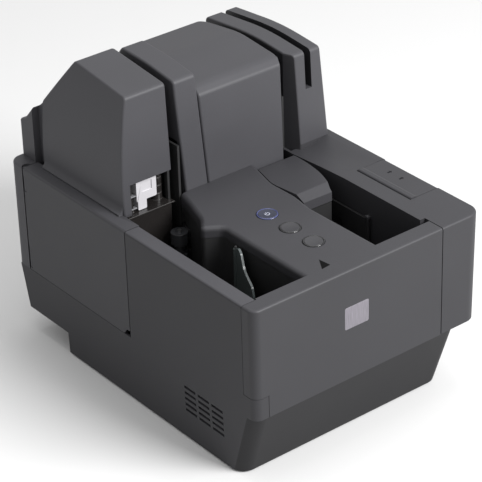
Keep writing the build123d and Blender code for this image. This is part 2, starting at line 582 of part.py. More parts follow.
def rear_cover():
    y0 = PIVOT_Y + SEAM
    band = plan([(0, y0), (WIDTH, y0), (WIDTH, DEPTH, REAR_R), (0, DEPTH, REAR_R)], CREASE_Z, DECK_Z)
    top_edges = band.faces().sort_by(Axis.Z)[-1].edges().filter_by(lambda e: e.center().Y > y0 + 2)
    band = fillet(top_edges, EDGE_R)
    band -= plan([(WALL, y0 + WALL), (WIDTH - WALL, y0 + WALL), (WIDTH - WALL, DEPTH - WALL, REAR_R - WALL),
                  (WALL, DEPTH - WALL, REAR_R - WALL)], CREASE_Z + WALL, DECK_Z - WALL)
    raised = rear_section(0)
    soft = raised.edges().filter_by(lambda e: e.center().Y > y0 + 1 and e.center().Z > DECK_Z
                                    and abs(e.tangent_at(0.5).X) < 0.5)
    raised = fillet(soft, EDGE_R)
    cover = band + (raised - rear_section(WALL)) + rear_shoulders()
    opening = offset(outline([(TURN_X[0], TURN_Y - 13), (TURN_X[1], TURN_Y - 13), (TURN_X[1], TURN_Y),
                              (TURN_X[0], TURN_Y)]), TURN_R + TRACK_GAP + THIN + 0.2)
    cover -= extrude(Pos(0, 0, FLOOR_Z - PLATE - 0.2) * opening, amount=200)
    cover -= box(SIDE_WALL_X, BASE_RIGHT, y0 - 1, y0 + WALL + 1, FLOOR_Z - PLATE - CLEAR, FLOOR_Z + CLEAR)
    for hand in (-1, 1):
        x = pivot_x(hand)
        cover -= post(x, PIVOT_Y, 0, 300, PIVOT_R / cos(radians(OPEN_ANGLE / 2)) + CLEAR)
        for z0, z1 in KNUCKLES:
            knuckle = post(x, PIVOT_Y, z0, z1, PIVOT_R - 0.3) + box(x - 2, x + 2, PIVOT_Y, y0 + 5, z0, z1)
            cover += knuckle
        cover -= post(x, PIVOT_Y, 0, 300, HINGE_PIN_R)
    return cover


def hinge_pins():
    return [post(pivot_x(h), PIVOT_Y, KNUCKLES[0][0] - 1, KNUCKLES[1][1] + 4, HINGE_PIN_R) for h in (-1, 1)]


def hinge_cuts(shape, hand):
    """Clear a moving cover round its fixed knuckles and bore it for its pin."""
    x = pivot_x(hand)
    for z0, z1 in KNUCKLES:
        shape -= post(x, PIVOT_Y, z0 - CLEAR, z1 + CLEAR, PIVOT_R + 0.5)
    return shape - post(x, PIVOT_Y, 0, 300, HINGE_PIN_R + RUN)


# ---- left unit ----
def tower_form(inset):
    """The imprinter tower: leaning front, bowed left side, roof that falls away behind its ridge."""
    base = DECK_Z - 6 if inset else FLOOR_Z + SEAM
    back = BLOCK_BACK_Y - inset
    sides = [(BLOCK_Y + inset, base), (BLOCK_Y + inset, DECK_Z),
             (block_front_y(TOWER_FRONT_Z) + inset, TOWER_FRONT_Z - inset, 3.5 - inset),
             (BLOCK_Y + 72 - inset / 2, TOWER_TOP_Z - inset, 6), (back, BACK_EAVES_Z - inset / 2),
             (back, base)]
    across = [(SIDE_WALL_X + inset, base), (SIDE_WALL_X + inset, TOWER_WAIST_Z, 480), (28.2 + inset, 275),
              (TOWER_X - inset, 275), (TOWER_X - inset, base)]
    return side(sides, 0, 70) & front(across, BLOCK_Y - 7, DEPTH)


def tower_shell():
    solid = tower_form(0)
    left = solid.edges().filter_by(
        lambda e: e.center().X < 32 and e.center().Z > DECK_Z + 7 and e.center().Y < BLOCK_BACK_Y - 1
        and abs(e.tangent_at(0.5).X) < 0.5)
    right = solid.edges().filter_by(
        lambda e: abs(e.center().X - TOWER_X) < 0.1 and e.center().Z > DECK_Z + 12
        and e.center().Y < BLOCK_BACK_Y - 1)
    solid = fillet(left + right, CROWN_R)
    inner = tower_form(WALL) + box(SIDE_WALL_X + WALL, TOWER_X - WALL, BLOCK_Y + 3.5, BLOCK_BACK_Y - WALL,
                                   FLOOR_Z - 2, DECK_Z + 2)
    return solid - inner


def left_cover():
    y0 = LEFT_SEAM_Y + SEAM + 0.1
    back = PIVOT_Y - CLEAR
    relief = back - 8.7
    skin = plan([(0, y0), (SIDE_WALL_X, y0), (SIDE_WALL_X, back), (0, back)], CREASE_Z + SEAM, DECK_Z)
    edges = skin.edges().filter_by(Axis.Y).group_by(Axis.Z)[-1].sort_by(Axis.X)[0]
    skin = fillet(edges, EDGE_R)
    skin -= box(WALL, SIDE_WALL_X - WALL, y0 + WALL, relief, 0, DECK_Z - WALL)
    skin -= box(WALL, SIDE_WALL_X + 1, 0, relief, 0, FLOOR_Z + SEAM)
    skin -= plan([(WALL, PIVOT_Y - 10), (20, PIVOT_Y - 10), (20, PIVOT_Y), (2 * PIVOT_R, PIVOT_Y),
                  (2 * PIVOT_R, PIVOT_Y - 6)], 0, FLOOR_Z + SEAM)
    tower = tower_shell()
    tower -= box(WINDOW_X, TOWER_X + 1, BLOCK_Y - 7, BLOCK_Y + 7, WINDOW_Z[0], WINDOW_Z[1])
    tower -= box(SIDE_WALL_X + WALL, TOWER_X + 1, BLOCK_Y - 7, BLOCK_Y + 7, FLOOR_Z, WINDOW_Z[0] + 1)
    tower -= box(TOWER_X - WALL, TOWER_X + 1, BLOCK_Y + 4.5, DEPTH, FLOOR_Z - 2, GUIDE_TOP_Z)
    cove = front([(0.5, DECK_Z - 1), (SIDE_WALL_X + 0.5, DECK_Z - 1), (SIDE_WALL_X + 0.5, DECK_Z + 9),
                  (SIDE_WALL_X - 1.5, DECK_Z + 2, 6)], BLOCK_Y + 2, BLOCK_BACK_Y - 2)
    cover = skin + tower + (cove & box(SIDE_WALL_X - 4, 20, 0, DEPTH, 0, 300))
    cover += post(pivot_x(-1), PIVOT_Y, CREASE_Z + SEAM, DECK_Z - 1.5, PIVOT_R)
    cover -= side([(y0 - 1, CREASE_Z - 1), (y0 - 1, 67), (y0 + 4, 67, 2), (y0 + 9, CREASE_Z - 1)], -1, 8)
    return hinge_cuts(cover, -1)


def cartridge_cradle():
    """Dark holder behind the tower's window: sill, wall below it, side ribs and an upright barrel."""
    x0 = SIDE_WALL_X + WALL + 0.1
    x1 = TOWER_X - WALL - 0.2
    y0 = BLOCK_Y + 0.2
    back = BLOCK_Y + 49
    cradle = box(x0, x1, y0, back, CRADLE_Z - 4.5, CRADLE_Z)
    cradle = cradle + box(x0 + 0.9, x1, back - THIN, back, CRADLE_Z - 4.5, 184)
    cradle += box(x0, x1, y0, y0 + THIN, FLOOR_Z + SEAM, CRADLE_Z)
    cradle += box(x0, TOWER_X, y0 - 1.0, BLOCK_Y + 4, CRADLE_Z - 1.2, CRADLE_Z)
    for x in (22.6, 26.2):
        cradle += side([(BLOCK_Y + 5, CRADLE_Z - 2), (BLOCK_Y + 29, CRADLE_Z - 2), (BLOCK_Y + 29, 182),
                        (BLOCK_Y + 9, 182)], x, x + 1.4)
    x, y = x1 - 5.1, BLOCK_Y + 13.5
    barrel = post(x, y, CRADLE_Z, 181.5, 4.9)
    for z in (160.0, 167.0, 174.0):
        barrel -= post(x, y, z, z + 1.0, 6) - post(x, y, z - 1, z + 2, 4.3)
    return cradle + barrel


def ink_cartridge():
    """L-shaped ink cartridge: a wide head over a narrow nozzle leg."""
    foot = CRADLE_Z + CLEAR
    left, neck, right = CARTRIDGE_X
    step, top = CARTRIDGE_STEP_Z, CARTRIDGE_TOP_Z
    y0 = BLOCK_Y + 4.5
    body = front([(left, step, 1), (left, top, 1.5), (right, top, 1.5), (right, step, 1), (neck, step),
                  (neck, foot, 1), (left + 1.2, foot, 1), (left + 1.2, step)], y0, y0 + CARTRIDGE_LONG)
    body -= box(left + 5, right - 4.5, y0 - 1, y0 + 0.8, 170, 178)
    return body


# ---- right unit ----
def column_form(inset):
    """The right column: leaning front, slanted lead-in on its left, side drawn in towards the top."""
    base = DECK_Z - 18 if inset else FLOOR_Z + SEAM
    back = COLUMN_BACK_Y - inset
    foot_x = WIDTH - 6.4 + (DECK_Z - base) * 0.064 - inset
    left, lead = COLUMN_X + inset, COLUMN_X + LEAD_DEEP + inset
    sides = [(BLOCK_Y + inset, base), (BLOCK_Y + inset, DECK_Z),
             (block_front_y(COLUMN_FRONT_Z) + inset, COLUMN_FRONT_Z - inset, 4 - inset),
             (BLOCK_Y + 51, COLUMN_CREST_Z - inset, 250), (back, COLUMN_BACK_Z - inset, 4 - inset),
             (back, base)]
    across = [(left, base), (left, 252), (WIDTH - 12.4 - inset, 252), (foot_x, base)]
    seen = [(left, DEPTH), (left, LEAD_Y), (lead, BLOCK_Y - 1), (lead, BLOCK_Y - 7),
            (WIDTH + 10, BLOCK_Y - 7), (WIDTH + 10, DEPTH)]
    return side(sides, COLUMN_X - 6, WIDTH + 10) & front(across, BLOCK_Y - 7, DEPTH) & plan(seen, base, 260)


def column_shell():
    solid = column_form(0)
    right = solid.edges().filter_by(lambda e: e.center().X > WIDTH - 15 and e.center().Z > DECK_Z + 12
                                    and e.center().Y < COLUMN_BACK_Y - 1)
    left = solid.edges().filter_by(lambda e: e.center().X < COLUMN_X + 10 and e.center().Z > 228
                                   and e.center().Y < COLUMN_BACK_Y - 1 and e.length > 2)
    return fillet(left + right, CROWN_R) - column_form(WALL)


def deck_plan(inset, right_x):
    """Plan of the right deck, with its outer side at right_x."""
    ledge_x = WIDTH - SIDE_WALL_X
    return outline([
        (RIGHT_SEAM_X + SEAM + inset, inset), (right_x - inset, inset, RIGHT_FRONT_R - inset),
        (right_x - inset, PIVOT_Y - CLEAR - inset), (ledge_x + inset, PIVOT_Y - CLEAR - inset),
        (ledge_x + inset, BLOCK_BACK_Y + 1 - inset), (COLUMN_X + inset, BLOCK_BACK_Y + 1 - inset),
        (COLUMN_X + inset, LEAD_Y), (HOPPER_REAR_X + inset, LEAD_Y - 1),
        (HOPPER_REAR_X + inset, BLOCK_Y - 36),
        (HOPPER_X + inset, BLOCK_Y - 68), (HOPPER_X + inset, FRONT_RIM_Y + 5.7 + inset),
        (RIGHT_SEAM_X + SEAM + inset, FRONT_RIM_Y + 5.7 + inset),
    ])


def deck_form(inset):
    """The right deck and its side, drawn in a little towards the crease."""
    z0 = CREASE_Z - 10 if inset else CREASE_Z + SEAM
    z1 = DECK_Z - inset
    draft = SIDE_DRAFT / (DECK_Z - CREASE_Z)
    low = deck_plan(inset, WIDTH - (DECK_Z - z0) * draft)
    high = deck_plan(inset, WIDTH - (DECK_Z - z1) * draft)
    return loft([Pos(0, 0, z0) * low, Pos(0, 0, z1) * high], ruled=True)


def right_cover():
    form = deck_form(0)
    edge = form.edges().filter_by(lambda e: e.center().Z > DECK_Z - 0.1 and e.center().Y < PIVOT_Y - 2)
    form = fillet(edge.filter_by(lambda e: e.center().X > WIDTH - 8 or e.center().Y < 1), EDGE_R)
    deck = form - deck_form(WALL)
    deck -= box(HOPPER_X - 3, BASE_RIGHT + 12, WALL, PIVOT_Y - 6, 0, FLOOR_Z + SEAM)
    foot = LEAD_Y + 1
    over = DECK_Z + 12
    dip = side([(DIP_Y, DECK_Z), (BLOCK_Y, DIP_Z), (foot, DIP_Z), (foot, over), (DIP_Y, over)],
               HOPPER_X - 3, WIDTH - 6)
    dip = dip & front([(HOPPER_X - 3, DIP_Z - 5), (COLUMN_X + 6, DIP_Z - 3), (WIDTH - 8.6, DECK_Z),
                       (WIDTH - 8.6, DECK_Z + 7), (HOPPER_X - 3, DECK_Z + 7)], DIP_Y - 10, foot + 1)
    under = box(HOPPER_X + 1, WIDTH - 4, DIP_Y - 10, BLOCK_Y + 4, 140, DECK_Z - 0.4)
    floor = (Pos(0, 0, -WALL - 0.2) * dip) & under
    deck = deck + floor - dip
    y0, y1 = LEVER_Y
    tray = box(LEVER_X - 3, WIDTH - 1, y0 - SEAM - WALL, y1 + SEAM + WALL, DECK_Z - 10, DECK_Z - 1)
    deck += tray & deck_form(0)
    deck -= box(LEVER_X - LEVER_GAP, WIDTH + 1, y0 - SEAM, y1 + SEAM, DECK_Z - 7.7, DECK_Z + 1)
    deck -= rod(WIDTH - LEVER_R, y0 - SEAM - WALL, y1 + SEAM + WALL, DECK_Z - LEVER_R, LEVER_PIN_R)
    column = column_shell() - box(COLUMN_X + WALL, WIDTH - 9, BLOCK_Y + 6, BLOCK_BACK_Y - 3,
                                  FLOOR_Z, DECK_Z - 6)
    column -= box(HOPPER_X, WIDTH, BLOCK_BACK_Y + 1, DEPTH, FLOOR_Z, DECK_Z)
    slot_walls = box(SLOT_X - THIN, SLOT_X + SLOT_WIDE + THIN, BLOCK_Y - 7, DEPTH, SLOT_Z - 2.2, 260)
    column += slot_walls & column_form(1)
    column -= box(SLOT_X, SLOT_X + SLOT_WIDE, BLOCK_Y - 7, DEPTH, SLOT_Z, 260)
    column -= box(COLUMN_X - 1, COLUMN_X + WALL + 0.5, LEAD_Y, DEPTH, FLOOR_Z, GUIDE_TOP_Z)
    deck -= box(COLUMN_X - 2.5, COLUMN_X + WALL + 0.5, LEAD_Y, DEPTH, FLOOR_Z, DECK_Z + 1)
    deck -= column_form(WALL) & box(COLUMN_X + WALL, WIDTH - 9, BLOCK_Y + 3, BLOCK_BACK_Y - 3, 140, over)
    cover = deck + column
    x, y = RETARD_AT
    cover -= post(x, y, TYRE_Z[0][0] - 2, TYRE_Z[1][1] + 2, IDLER_R + 1.5)
    px, py = PRESSER_AT
    for z in (TYRE_Z[0][0] - 4.5, TYRE_Z[1][1] + 3):
        cover += box(HOPPER_REAR_X + 1, x + LUG, y - LUG, y + LUG, z, z + THIN)
        cover += box(px - 1.8, HOPPER_X + 1, py - 2, py + 2, z, z + THIN)
    cover -= post(x, y, TYRE_Z[0][0] - 6, TYRE_Z[1][1] + 8, SHAFT_R + RUN)
    cover -= post(px, py, TYRE_Z[0][0] - 6, TYRE_Z[1][1] + 8, PRESSER_PIN_R)
    cover += post(pivot_x(1), PIVOT_Y, CREASE_Z + SEAM, DECK_Z - 1.5, PIVOT_R)
    return hinge_cuts(cover, 1)


def release_lever():
    """Flush lever in the right deck: it turns up about its rounded outer edge."""
    y0, y1 = LEVER_Y
    x = WIDTH - LEVER_R
    grip = DECK_Z - LEVER_T - 1.5
    proud, under = DECK_Z + LEVER_LIP, DECK_Z - LEVER_T
    profile = [(LEVER_X, grip, 1), (LEVER_X, proud, 1.8), (LEVER_X + 4.5, proud, 3),
               (LEVER_X + 6.5, DECK_Z, 3), (x, DECK_Z), (x, under), (LEVER_X + 2.5, under),
               (LEVER_X + 2.5, grip)]
    lever = front(profile, y0, y1) + rod(x, y0, y1, DECK_Z - LEVER_R, LEVER_R)
    for rib in range(4):
        y = y0 + 12 + rib * 13
        lever += box(LEVER_X + 4, x, y, y + 1.2, grip, DECK_Z - LEVER_T)
    return lever - rod(x, y0 - 1, y1 + 1, DECK_Z - LEVER_R, LEVER_PIN_R + RUN)


def lever_pin():
    y0, y1 = LEVER_Y
    return rod(WIDTH - LEVER_R, y0 - SEAM - WALL, y1 + SEAM + WALL, DECK_Z - LEVER_R, LEVER_PIN_R)


def presser_plate():
    """Sprung plate that pushes the cheques against the pick roller."""
    x, y = PRESSER_AT
    z0, z1 = TYRE_Z[0][0] - 2, TYRE_Z[1][1] + 2.5
    plate = box(x - 0.9, x + 0.9, y, y + PRESSER_LONG, z0, z1) + post(x, y, z0, z1, 1.6)
    plate -= box(x - 2, x + 2, y + PRESSER_LONG - 14, y + PRESSER_LONG + 1, 114.5, 121.5)
    return plate - post(x, y, z0 - 1, z1 + 1, PRESSER_PIN_R + RUN)


def presser_pin():
    return post(PRESSER_AT[0], PRESSER_AT[1], TYRE_Z[0][0] - 4.5, TYRE_Z[1][1] + 5, PRESSER_PIN_R)


# ---- stacker flap ----
def stacker_flap():
    """Light fin that steers each cheque to the left of the pocket."""
    x, y = FLAP_AT
    fin = side([(y, FLOOR_Z + 3), (y, 147, 2), (y - 7, 151, 3), (y - 12, 149, 4), (y - 18, 137, 12),
                (y - 34, 131, 3), (y - 37, 124, 3), (y - 36, 108, 4), (y - 30, FLOOR_Z + 3, 3)],
               x - 0.9, x + 0.9)
    fin += post(x, y, FLOOR_Z + CLEAR, 147, 2.0)
    fin -= post(x, y, FLOOR_Z - 1, 152, FLAP_PIN_R + RUN)
    return Pos(x, y, 0) * Rot(0, 0, -FLAP_ANGLE) * Pos(-x, -y, 0) * fin


def flap_pin():
    return post(FLAP_AT[0], FLAP_AT[1], FLOOR_Z - PLATE, 149, FLAP_PIN_R)


# ---- rollers ----
def tyres(x, y, radius):
    """Two rubber tyres on one hub tube."""
    hub = post(x, y, TYRE_Z[0][0], TYRE_Z[1][1], radius - 3)
    for z0, z1 in TYRE_Z:
        ring = post(x, y, z0, z1, radius)
        hub += fillet(ring.edges().filter_by(GeomType.CIRCLE), 0.6)
    return hub - post(x, y, 0, 300, SHAFT_R)


def drive_shaft(x, y, levels):
    """Steel shaft with a toothed pulley at each belt level."""
    shaft = post(x, y, levels[-1][0] - 2, TYRE_Z[1][1] + 4, SHAFT_R)
    for z0, z1 in levels:
        shaft += post(x, y, z0, z1, PULLEY_R) + post(x, y, z0, z0 + 1, PULLEY_R + 1)
    return shaft


def idler(name):
    """Free roller with a waist, on a fixed pin."""
    x, y = IDLERS[name]
    z0, z1 = TYRE_Z[0][0] - 0.5, TYRE_Z[1][1] + 0.5
    roller = post(x, y, z0, z1, IDLER_R) - (post(x, y, TYRE_Z[0][1], TYRE_Z[1][0], IDLER_R + 1)
                                            - post(x, y, 0, 300, IDLER_R - 2.5))
    return roller - post(x, y, 0, 300, SHAFT_R + RUN)


def idler_pin(name, z0, z1):
    return post(IDLERS[name][0], IDLERS[name][1], z0, z1, SHAFT_R)


def belt(points, level):
    """Timing belt round a convex set of pulleys."""
    loop = outline(points)
    band = offset(loop, PULLEY_R + CLEAR + BELT_T) - offset(loop, PULLEY_R + CLEAR)
    return extrude(Pos(0, 0, level[0] + 1.5) * band, amount=level[1] - level[0] - 2.5)


def pick_belt():
    """Short belt from the feed shaft to the pick shaft."""
    ends = [Pos(x, y) * Circle(PULLEY_R + CLEAR) for x, y in (PICK_AT, DRIVEN["feed"])]
    loop = make_hull((ends[0] + ends[1]).edges())
    band = offset(loop, BELT_T) - loop
    low, high = PICK_PULLEY_Z
    return extrude(Pos(0, 0, low + 1.5) * band, amount=high - low - 2.5)


# ---- inner works ----
def motor():
    x, y = MOTOR_AT
    can = post(x, y, FLOOR_Z, MOTOR_TOP_Z, MOTOR_R)
    can = fillet(can.edges().filter_by(GeomType.CIRCLE).group_by(Axis.Z)[-1], 2)
    return can + post(x, y, MOTOR_TOP_Z, MOTOR_TOP_Z + 2, 5) - post(x, y, FLOOR_Z - 1, FLOOR_Z + 12, 3)


def motor_pulley():
    x, y = MOTOR_AT
    return post(x, y, PULLEY_Z[0], FLOOR_Z + 10, 1.5) + post(x, y, PULLEY_Z[0], PULLEY_Z[1], PULLEY_R)


def main_board():
    top = BOARD_Z + BOARD_T
    board = box(BOARD_X[0], BOARD_X[1], BOARD_Y[0], BOARD_Y[1], BOARD_Z, top)
    chips = ((40, 60, 24, 24, 3), (80, 90, 18, 18, 2), (20, 140, 30, 12, 6), (91, 30, 26, 8, 8))
    for x, y, w, d, h in chips:
        x += BOARD_X[0]
        y += BOARD_Y[0]
        board += box(x, x + w, y, y + d, top, top + h)
    return board


def usb_socket():
    z = BOARD_Z + BOARD_T
    y = SOCKET_Y
    shell = box(USB_X - 6, USB_X + 6, y - 17.5, y, z, z + SOCKET_H)
    return shell - box(USB_X - 4.6, USB_X + 4.6, y - 13.5, y + 1, z + 1.4, z + SOCKET_H - 1.4) + box(
        USB_X - 3, USB_X + 3, y - 15.5, y - 1, z + 4, z + 7)


def power_inlet():
    z = BOARD_Z + BOARD_T
    y = SOCKET_Y
    body = box(INLET_X - 5, INLET_X + 5, y - 15.5, y, z, z + SOCKET_H)
    return body - rod(INLET_X, y - 11.5, y + 1, z + 6, 3.2) + rod(INLET_X, y - 13.5, y - 1, z + 6, 1.0)


def image_sensor(hand):
    """Contact image sensor bar behind its glass, on the inner (-1) or outer (+1) side of the track."""
    x = TRACK_RIGHT_X - THIN if hand < 0 else TRACK_RIGHT_X + TRACK_GAP + THIN
    x0, x1 = (x - SENSOR_DEEP, x) if hand < 0 else (x, x + SENSOR_DEEP)
    low = FLOOR_Z if hand < 0 else FLOOR_Z + SEAM
    return box(x0, x1, SENSOR_Y[0] + 1, SENSOR_Y[1] - 1, low, SENSOR_Z[1])


def scan_glass(hand):
    x = TRACK_RIGHT_X - THIN if hand < 0 else TRACK_RIGHT_X + TRACK_GAP + THIN - GLASS_T
    return box(x, x + GLASS_T, SENSOR_Y[0] + 0.2, SENSOR_Y[1] - 0.2, SENSOR_Z[0] + 0.2, SENSOR_Z[1] - 0.2)


def ink_head():
    """Magnetic ink reading head just inside the right channel."""
    x = TRACK_RIGHT_X - THIN
    return box(x - 8, x, BLOCK_Y + 13, BLOCK_Y + 18, FLOOR_Z, FLOOR_Z + 22)


def card_head():
    """Magnetic stripe head beside the card slot."""
    x = SLOT_X + SLOT_WIDE + THIN
    return box(x, x + 5, BLOCK_Y + 49, BLOCK_Y + 61, SLOT_Z, SLOT_Z + 12)


def push_button(x, y):
    """Round key with a shallow dished top, a skirt and a stem."""
    top = DECK_Z + BUTTON_RISE
    key = post(x, y, DECK_Z - 6, top, BUTTON_R)
    key = fillet(key.edges().filter_by(GeomType.CIRCLE).group_by(Axis.Z)[-1], 0.9)
    key -= Pos(x, y, top + 59.5) * Sphere(60)
    key -= post(x, y, DECK_Z - 7, DECK_Z - 2.2, BUTTON_R - 1.6)
    return key + post(x, y, BUTTON_BOARD_Z + 4.2, DECK_Z - 2, 2.5)


def button_board():
    """Board under the panel with one switch below each key, hung from two bosses."""
    first, last = BUTTONS[-1][2] - 12, BUTTONS[0][2] + 12
    board = box(BUTTON_X - 12, BUTTON_X + 6, first, last, BUTTON_BOARD_Z, BUTTON_BOARD_Z + BOARD_T)
    for name, x, y in BUTTONS:
        board += box(x - 3, x + 3, y - 3, y + 3, BUTTON_BOARD_Z, BUTTON_BOARD_Z + 3)
    for y in (BUTTON_MID_Y - BUTTON_PITCH / 2, BUTTON_MID_Y + BUTTON_PITCH / 2):
        board += post(BUTTON_X - 9, y, BUTTON_BOARD_Z, DECK_Z - PANEL_T, 2)
    return board


def badge_plate():
    """Bare plate let flush into the front."""
    plate = box(BADGE_X[0], BADGE_X[1], 0, BADGE_T, BADGE_Z[0], BADGE_Z[1])
    return fillet(plate.edges().filter_by(Axis.Y), 1.5)


def rubber_feet():
    return Compound([post(x, y, 0, FOOT_H, FOOT_R)
                     for x in (28, BASE_RIGHT - 24) for y in (46, BASE_HEEL_Y - 24)])


def case_screws():
    """Screws that hold the floor plate on the base's posts."""
    return Compound([post(x, y, FLOOR_Z - SCREW_HEAD, FLOOR_Z, 2 * SCREW_R)
                     + post(x, y, FLOOR_Z - PLATE - 8, FLOOR_Z, SCREW_R) for x, y, z in PLATE_POSTS])


save("base_case", base_case())
save("front_cover", front_cover())
save("core_wall", core_wall())
save("feed_housing", feed_housing())
save("feed_cover", feed_cover())
save("block_cover", block_cover())
save("block_strip", block_strip())
save("inner_guide", inner_guide())
save("rear_guide", rear_guide())
save("chassis_plate", chassis_plate())
save("rear_cover", rear_cover())
save("case_pins", Compound(hinge_pins() + [lid_pin(), flap_pin()]
                           + [idler_pin(n, FLOOR_Z, TYRE_Z[1][1] + 2) for n in ("rear", "exit")]))
save("left_cover", left_cover())
save("left_guide", left_guide())
save("left_idler_pin", idler_pin("left", TYRE_Z[0][0] - 5, TYRE_Z[1][1] + 5))
save("cartridge_cradle", cartridge_cradle())
save("ink_cartridge", ink_cartridge())
save("right_cover", right_cover())
save("right_guide", right_guide())
save("right_pins", Compound([lever_pin(), presser_pin(),
                             idler_pin("right", TYRE_Z[0][0] - 5, TYRE_Z[1][1] + 5)]))
save("release_lever", release_lever())
save("presser_plate", presser_plate())
save("stacker_flap", stacker_flap())
for name, spot in DRIVEN.items():
    save(f"{name}_tyres", tyres(spot[0], spot[1], DRIVE_R))
    levels = [PULLEY_Z, PICK_PULLEY_Z] if name == "feed" else [PULLEY_Z]
    save(f"{name}_shaft", drive_shaft(spot[0], spot[1], levels))
save("pick_tyres", tyres(PICK_AT[0], PICK_AT[1], DRIVE_R))
save("pick_shaft", drive_shaft(PICK_AT[0], PICK_AT[1], [PICK_PULLEY_Z]))
save("retard_tyres", tyres(RETARD_AT[0], RETARD_AT[1], IDLER_R))
save("retard_shaft", post(RETARD_AT[0], RETARD_AT[1], TYRE_Z[0][0] - 4.5, TYRE_Z[1][1] + 5, SHAFT_R))
for name in IDLERS:
    save(f"{name}_idler", idler(name))
save("drive_belts", Compound([
    belt([MOTOR_AT] + [DRIVEN[name] for name in ("feed", "right", "rear", "left", "exit")], PULLEY_Z),
    pick_belt(),
]))
save("motor", motor())
save("motor_pulley", motor_pulley())
save("main_board", main_board())
save("usb_socket", usb_socket())
save("power_inlet", power_inlet())
save("inner_sensor", image_sensor(-1))
save("outer_sensor", image_sensor(1))
save("inner_glass", scan_glass(-1))
save("outer_glass", scan_glass(1))
save("ink_head", ink_head())
save("card_head", card_head())
for name, x, y in BUTTONS:
    save(f"{name}_button", push_button(x, y))
save("button_board", button_board())
save("badge_plate", badge_plate())
save("rubber_feet", rubber_feet())
save("case_screws", case_screws())
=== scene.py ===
import math

import bmesh
import bpy
from mathutils import Matrix, Vector
from mathutils.bvhtree import BVHTree


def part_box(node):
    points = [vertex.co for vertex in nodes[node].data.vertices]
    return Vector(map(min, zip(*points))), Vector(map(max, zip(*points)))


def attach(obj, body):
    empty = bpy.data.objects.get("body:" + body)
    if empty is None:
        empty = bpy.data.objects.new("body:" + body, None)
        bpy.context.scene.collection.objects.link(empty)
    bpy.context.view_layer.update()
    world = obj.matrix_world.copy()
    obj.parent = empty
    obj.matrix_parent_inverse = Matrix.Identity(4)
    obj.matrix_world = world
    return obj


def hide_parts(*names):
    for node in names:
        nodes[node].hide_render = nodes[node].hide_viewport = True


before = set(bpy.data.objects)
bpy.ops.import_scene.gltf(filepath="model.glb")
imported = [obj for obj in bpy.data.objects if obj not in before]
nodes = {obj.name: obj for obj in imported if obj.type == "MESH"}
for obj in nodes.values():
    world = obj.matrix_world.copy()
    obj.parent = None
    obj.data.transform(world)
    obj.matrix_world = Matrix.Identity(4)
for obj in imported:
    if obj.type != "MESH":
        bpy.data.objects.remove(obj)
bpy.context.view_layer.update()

# ---------------------------------------------------------------------------------------------
# Studio. A pale paper floor under a soft sky, with one large soft light high over the front right
# and one overhead, seen through a long lens from the front left, well above the deck.
AZIMUTH = math.radians(-37.79)
ELEVATION = math.radians(30.27)
ROLL = math.radians(-1.77)
EYE = Vector((-0.9847, -1.2694, 1.0426))
LENS = 171.9
SENSOR = 36
SKY_STRENGTH = 0.75
PAPER = 0.6
FLOOR_HALF = 6

back = Vector((math.sin(AZIMUTH) * math.cos(ELEVATION), -math.cos(AZIMUTH) * math.cos(ELEVATION),
               math.sin(ELEVATION)))
level = Vector((math.cos(AZIMUTH), math.sin(AZIMUTH), 0))
lift = back.cross(level)
right = math.cos(ROLL) * level + math.sin(ROLL) * lift
up = math.cos(ROLL) * lift - math.sin(ROLL) * level
camera = bpy.data.objects.new("studio_camera", bpy.data.cameras.new("studio_camera"))
camera.data.lens = LENS
camera.data.sensor_width = SENSOR
camera.data.clip_end = 20
camera.matrix_world = Matrix.Translation(EYE) @ Matrix((right, up, back)).transposed().to_4x4()
bpy.context.collection.objects.link(camera)
bpy.context.scene.camera = camera


def soft_light(name, place, aim, width, power):
    """A square area light at place that faces aim."""
    lamp = bpy.data.lights.new(name, "AREA")
    lamp.size = width
    lamp.energy = power
    lamp_object = bpy.data.objects.new(name, lamp)
    facing = (Vector(aim) - Vector(place)).to_track_quat("-Z", "Y").to_matrix().to_4x4()
    lamp_object.matrix_world = Matrix.Translation(place) @ facing
    bpy.context.collection.objects.link(lamp_object)


soft_light("key_light", place=(0.5, -1.5, 1.2), aim=(0, 0, 0.14), width=0.9, power=62)
soft_light("top_light", place=(0.1, 0.3, 1.9), aim=(0, 0, 0.1), width=1.2, power=11)

sky = bpy.data.worlds.new("studio_sky")
sky.use_nodes = True
sky.node_tree.nodes["Background"].inputs["Color"].default_value = (1, 1, 1, 1)
sky.node_tree.nodes["Background"].inputs["Strength"].default_value = SKY_STRENGTH
bpy.context.scene.world = sky
bpy.context.scene.view_settings.view_transform = "Standard"

floor_shape = bmesh.new()
bmesh.ops.create_grid(floor_shape, x_segments=1, y_segments=1, size=FLOOR_HALF)
floor_mesh = bpy.data.meshes.new("studio_floor")
floor_shape.to_mesh(floor_mesh)
floor_shape.free()
floor = bpy.data.objects.new("studio_floor", floor_mesh)
floor_finish = bpy.data.materials.new("studio_floor_paper")
floor_finish.use_nodes = True
paper = floor_finish.node_tree.nodes["Principled BSDF"]
paper.inputs["Base Color"].default_value = (PAPER, PAPER, PAPER, 1)
paper.inputs["Roughness"].default_value = 0.9
floor_mesh.materials.append(floor_finish)
bpy.context.collection.objects.link(floor)


# ---------------------------------------------------------------------------------------------
# Base case. The tapered tub is one black-grey injection moulding with a fine spark-eroded grain; it
# carries the left rim and the low corner piece, and its left side has a louvred air vent.
def add_node(tree, kind, values=None, **settings):
    """A shader node with its settings made, and its own inputs set by name or number."""
    node = tree.nodes.new("ShaderNode" + kind)
    for name, value in settings.items():
        setattr(node, name, value)
    for name, value in (values or {}).items():
        node.inputs[name].default_value = value
    return node


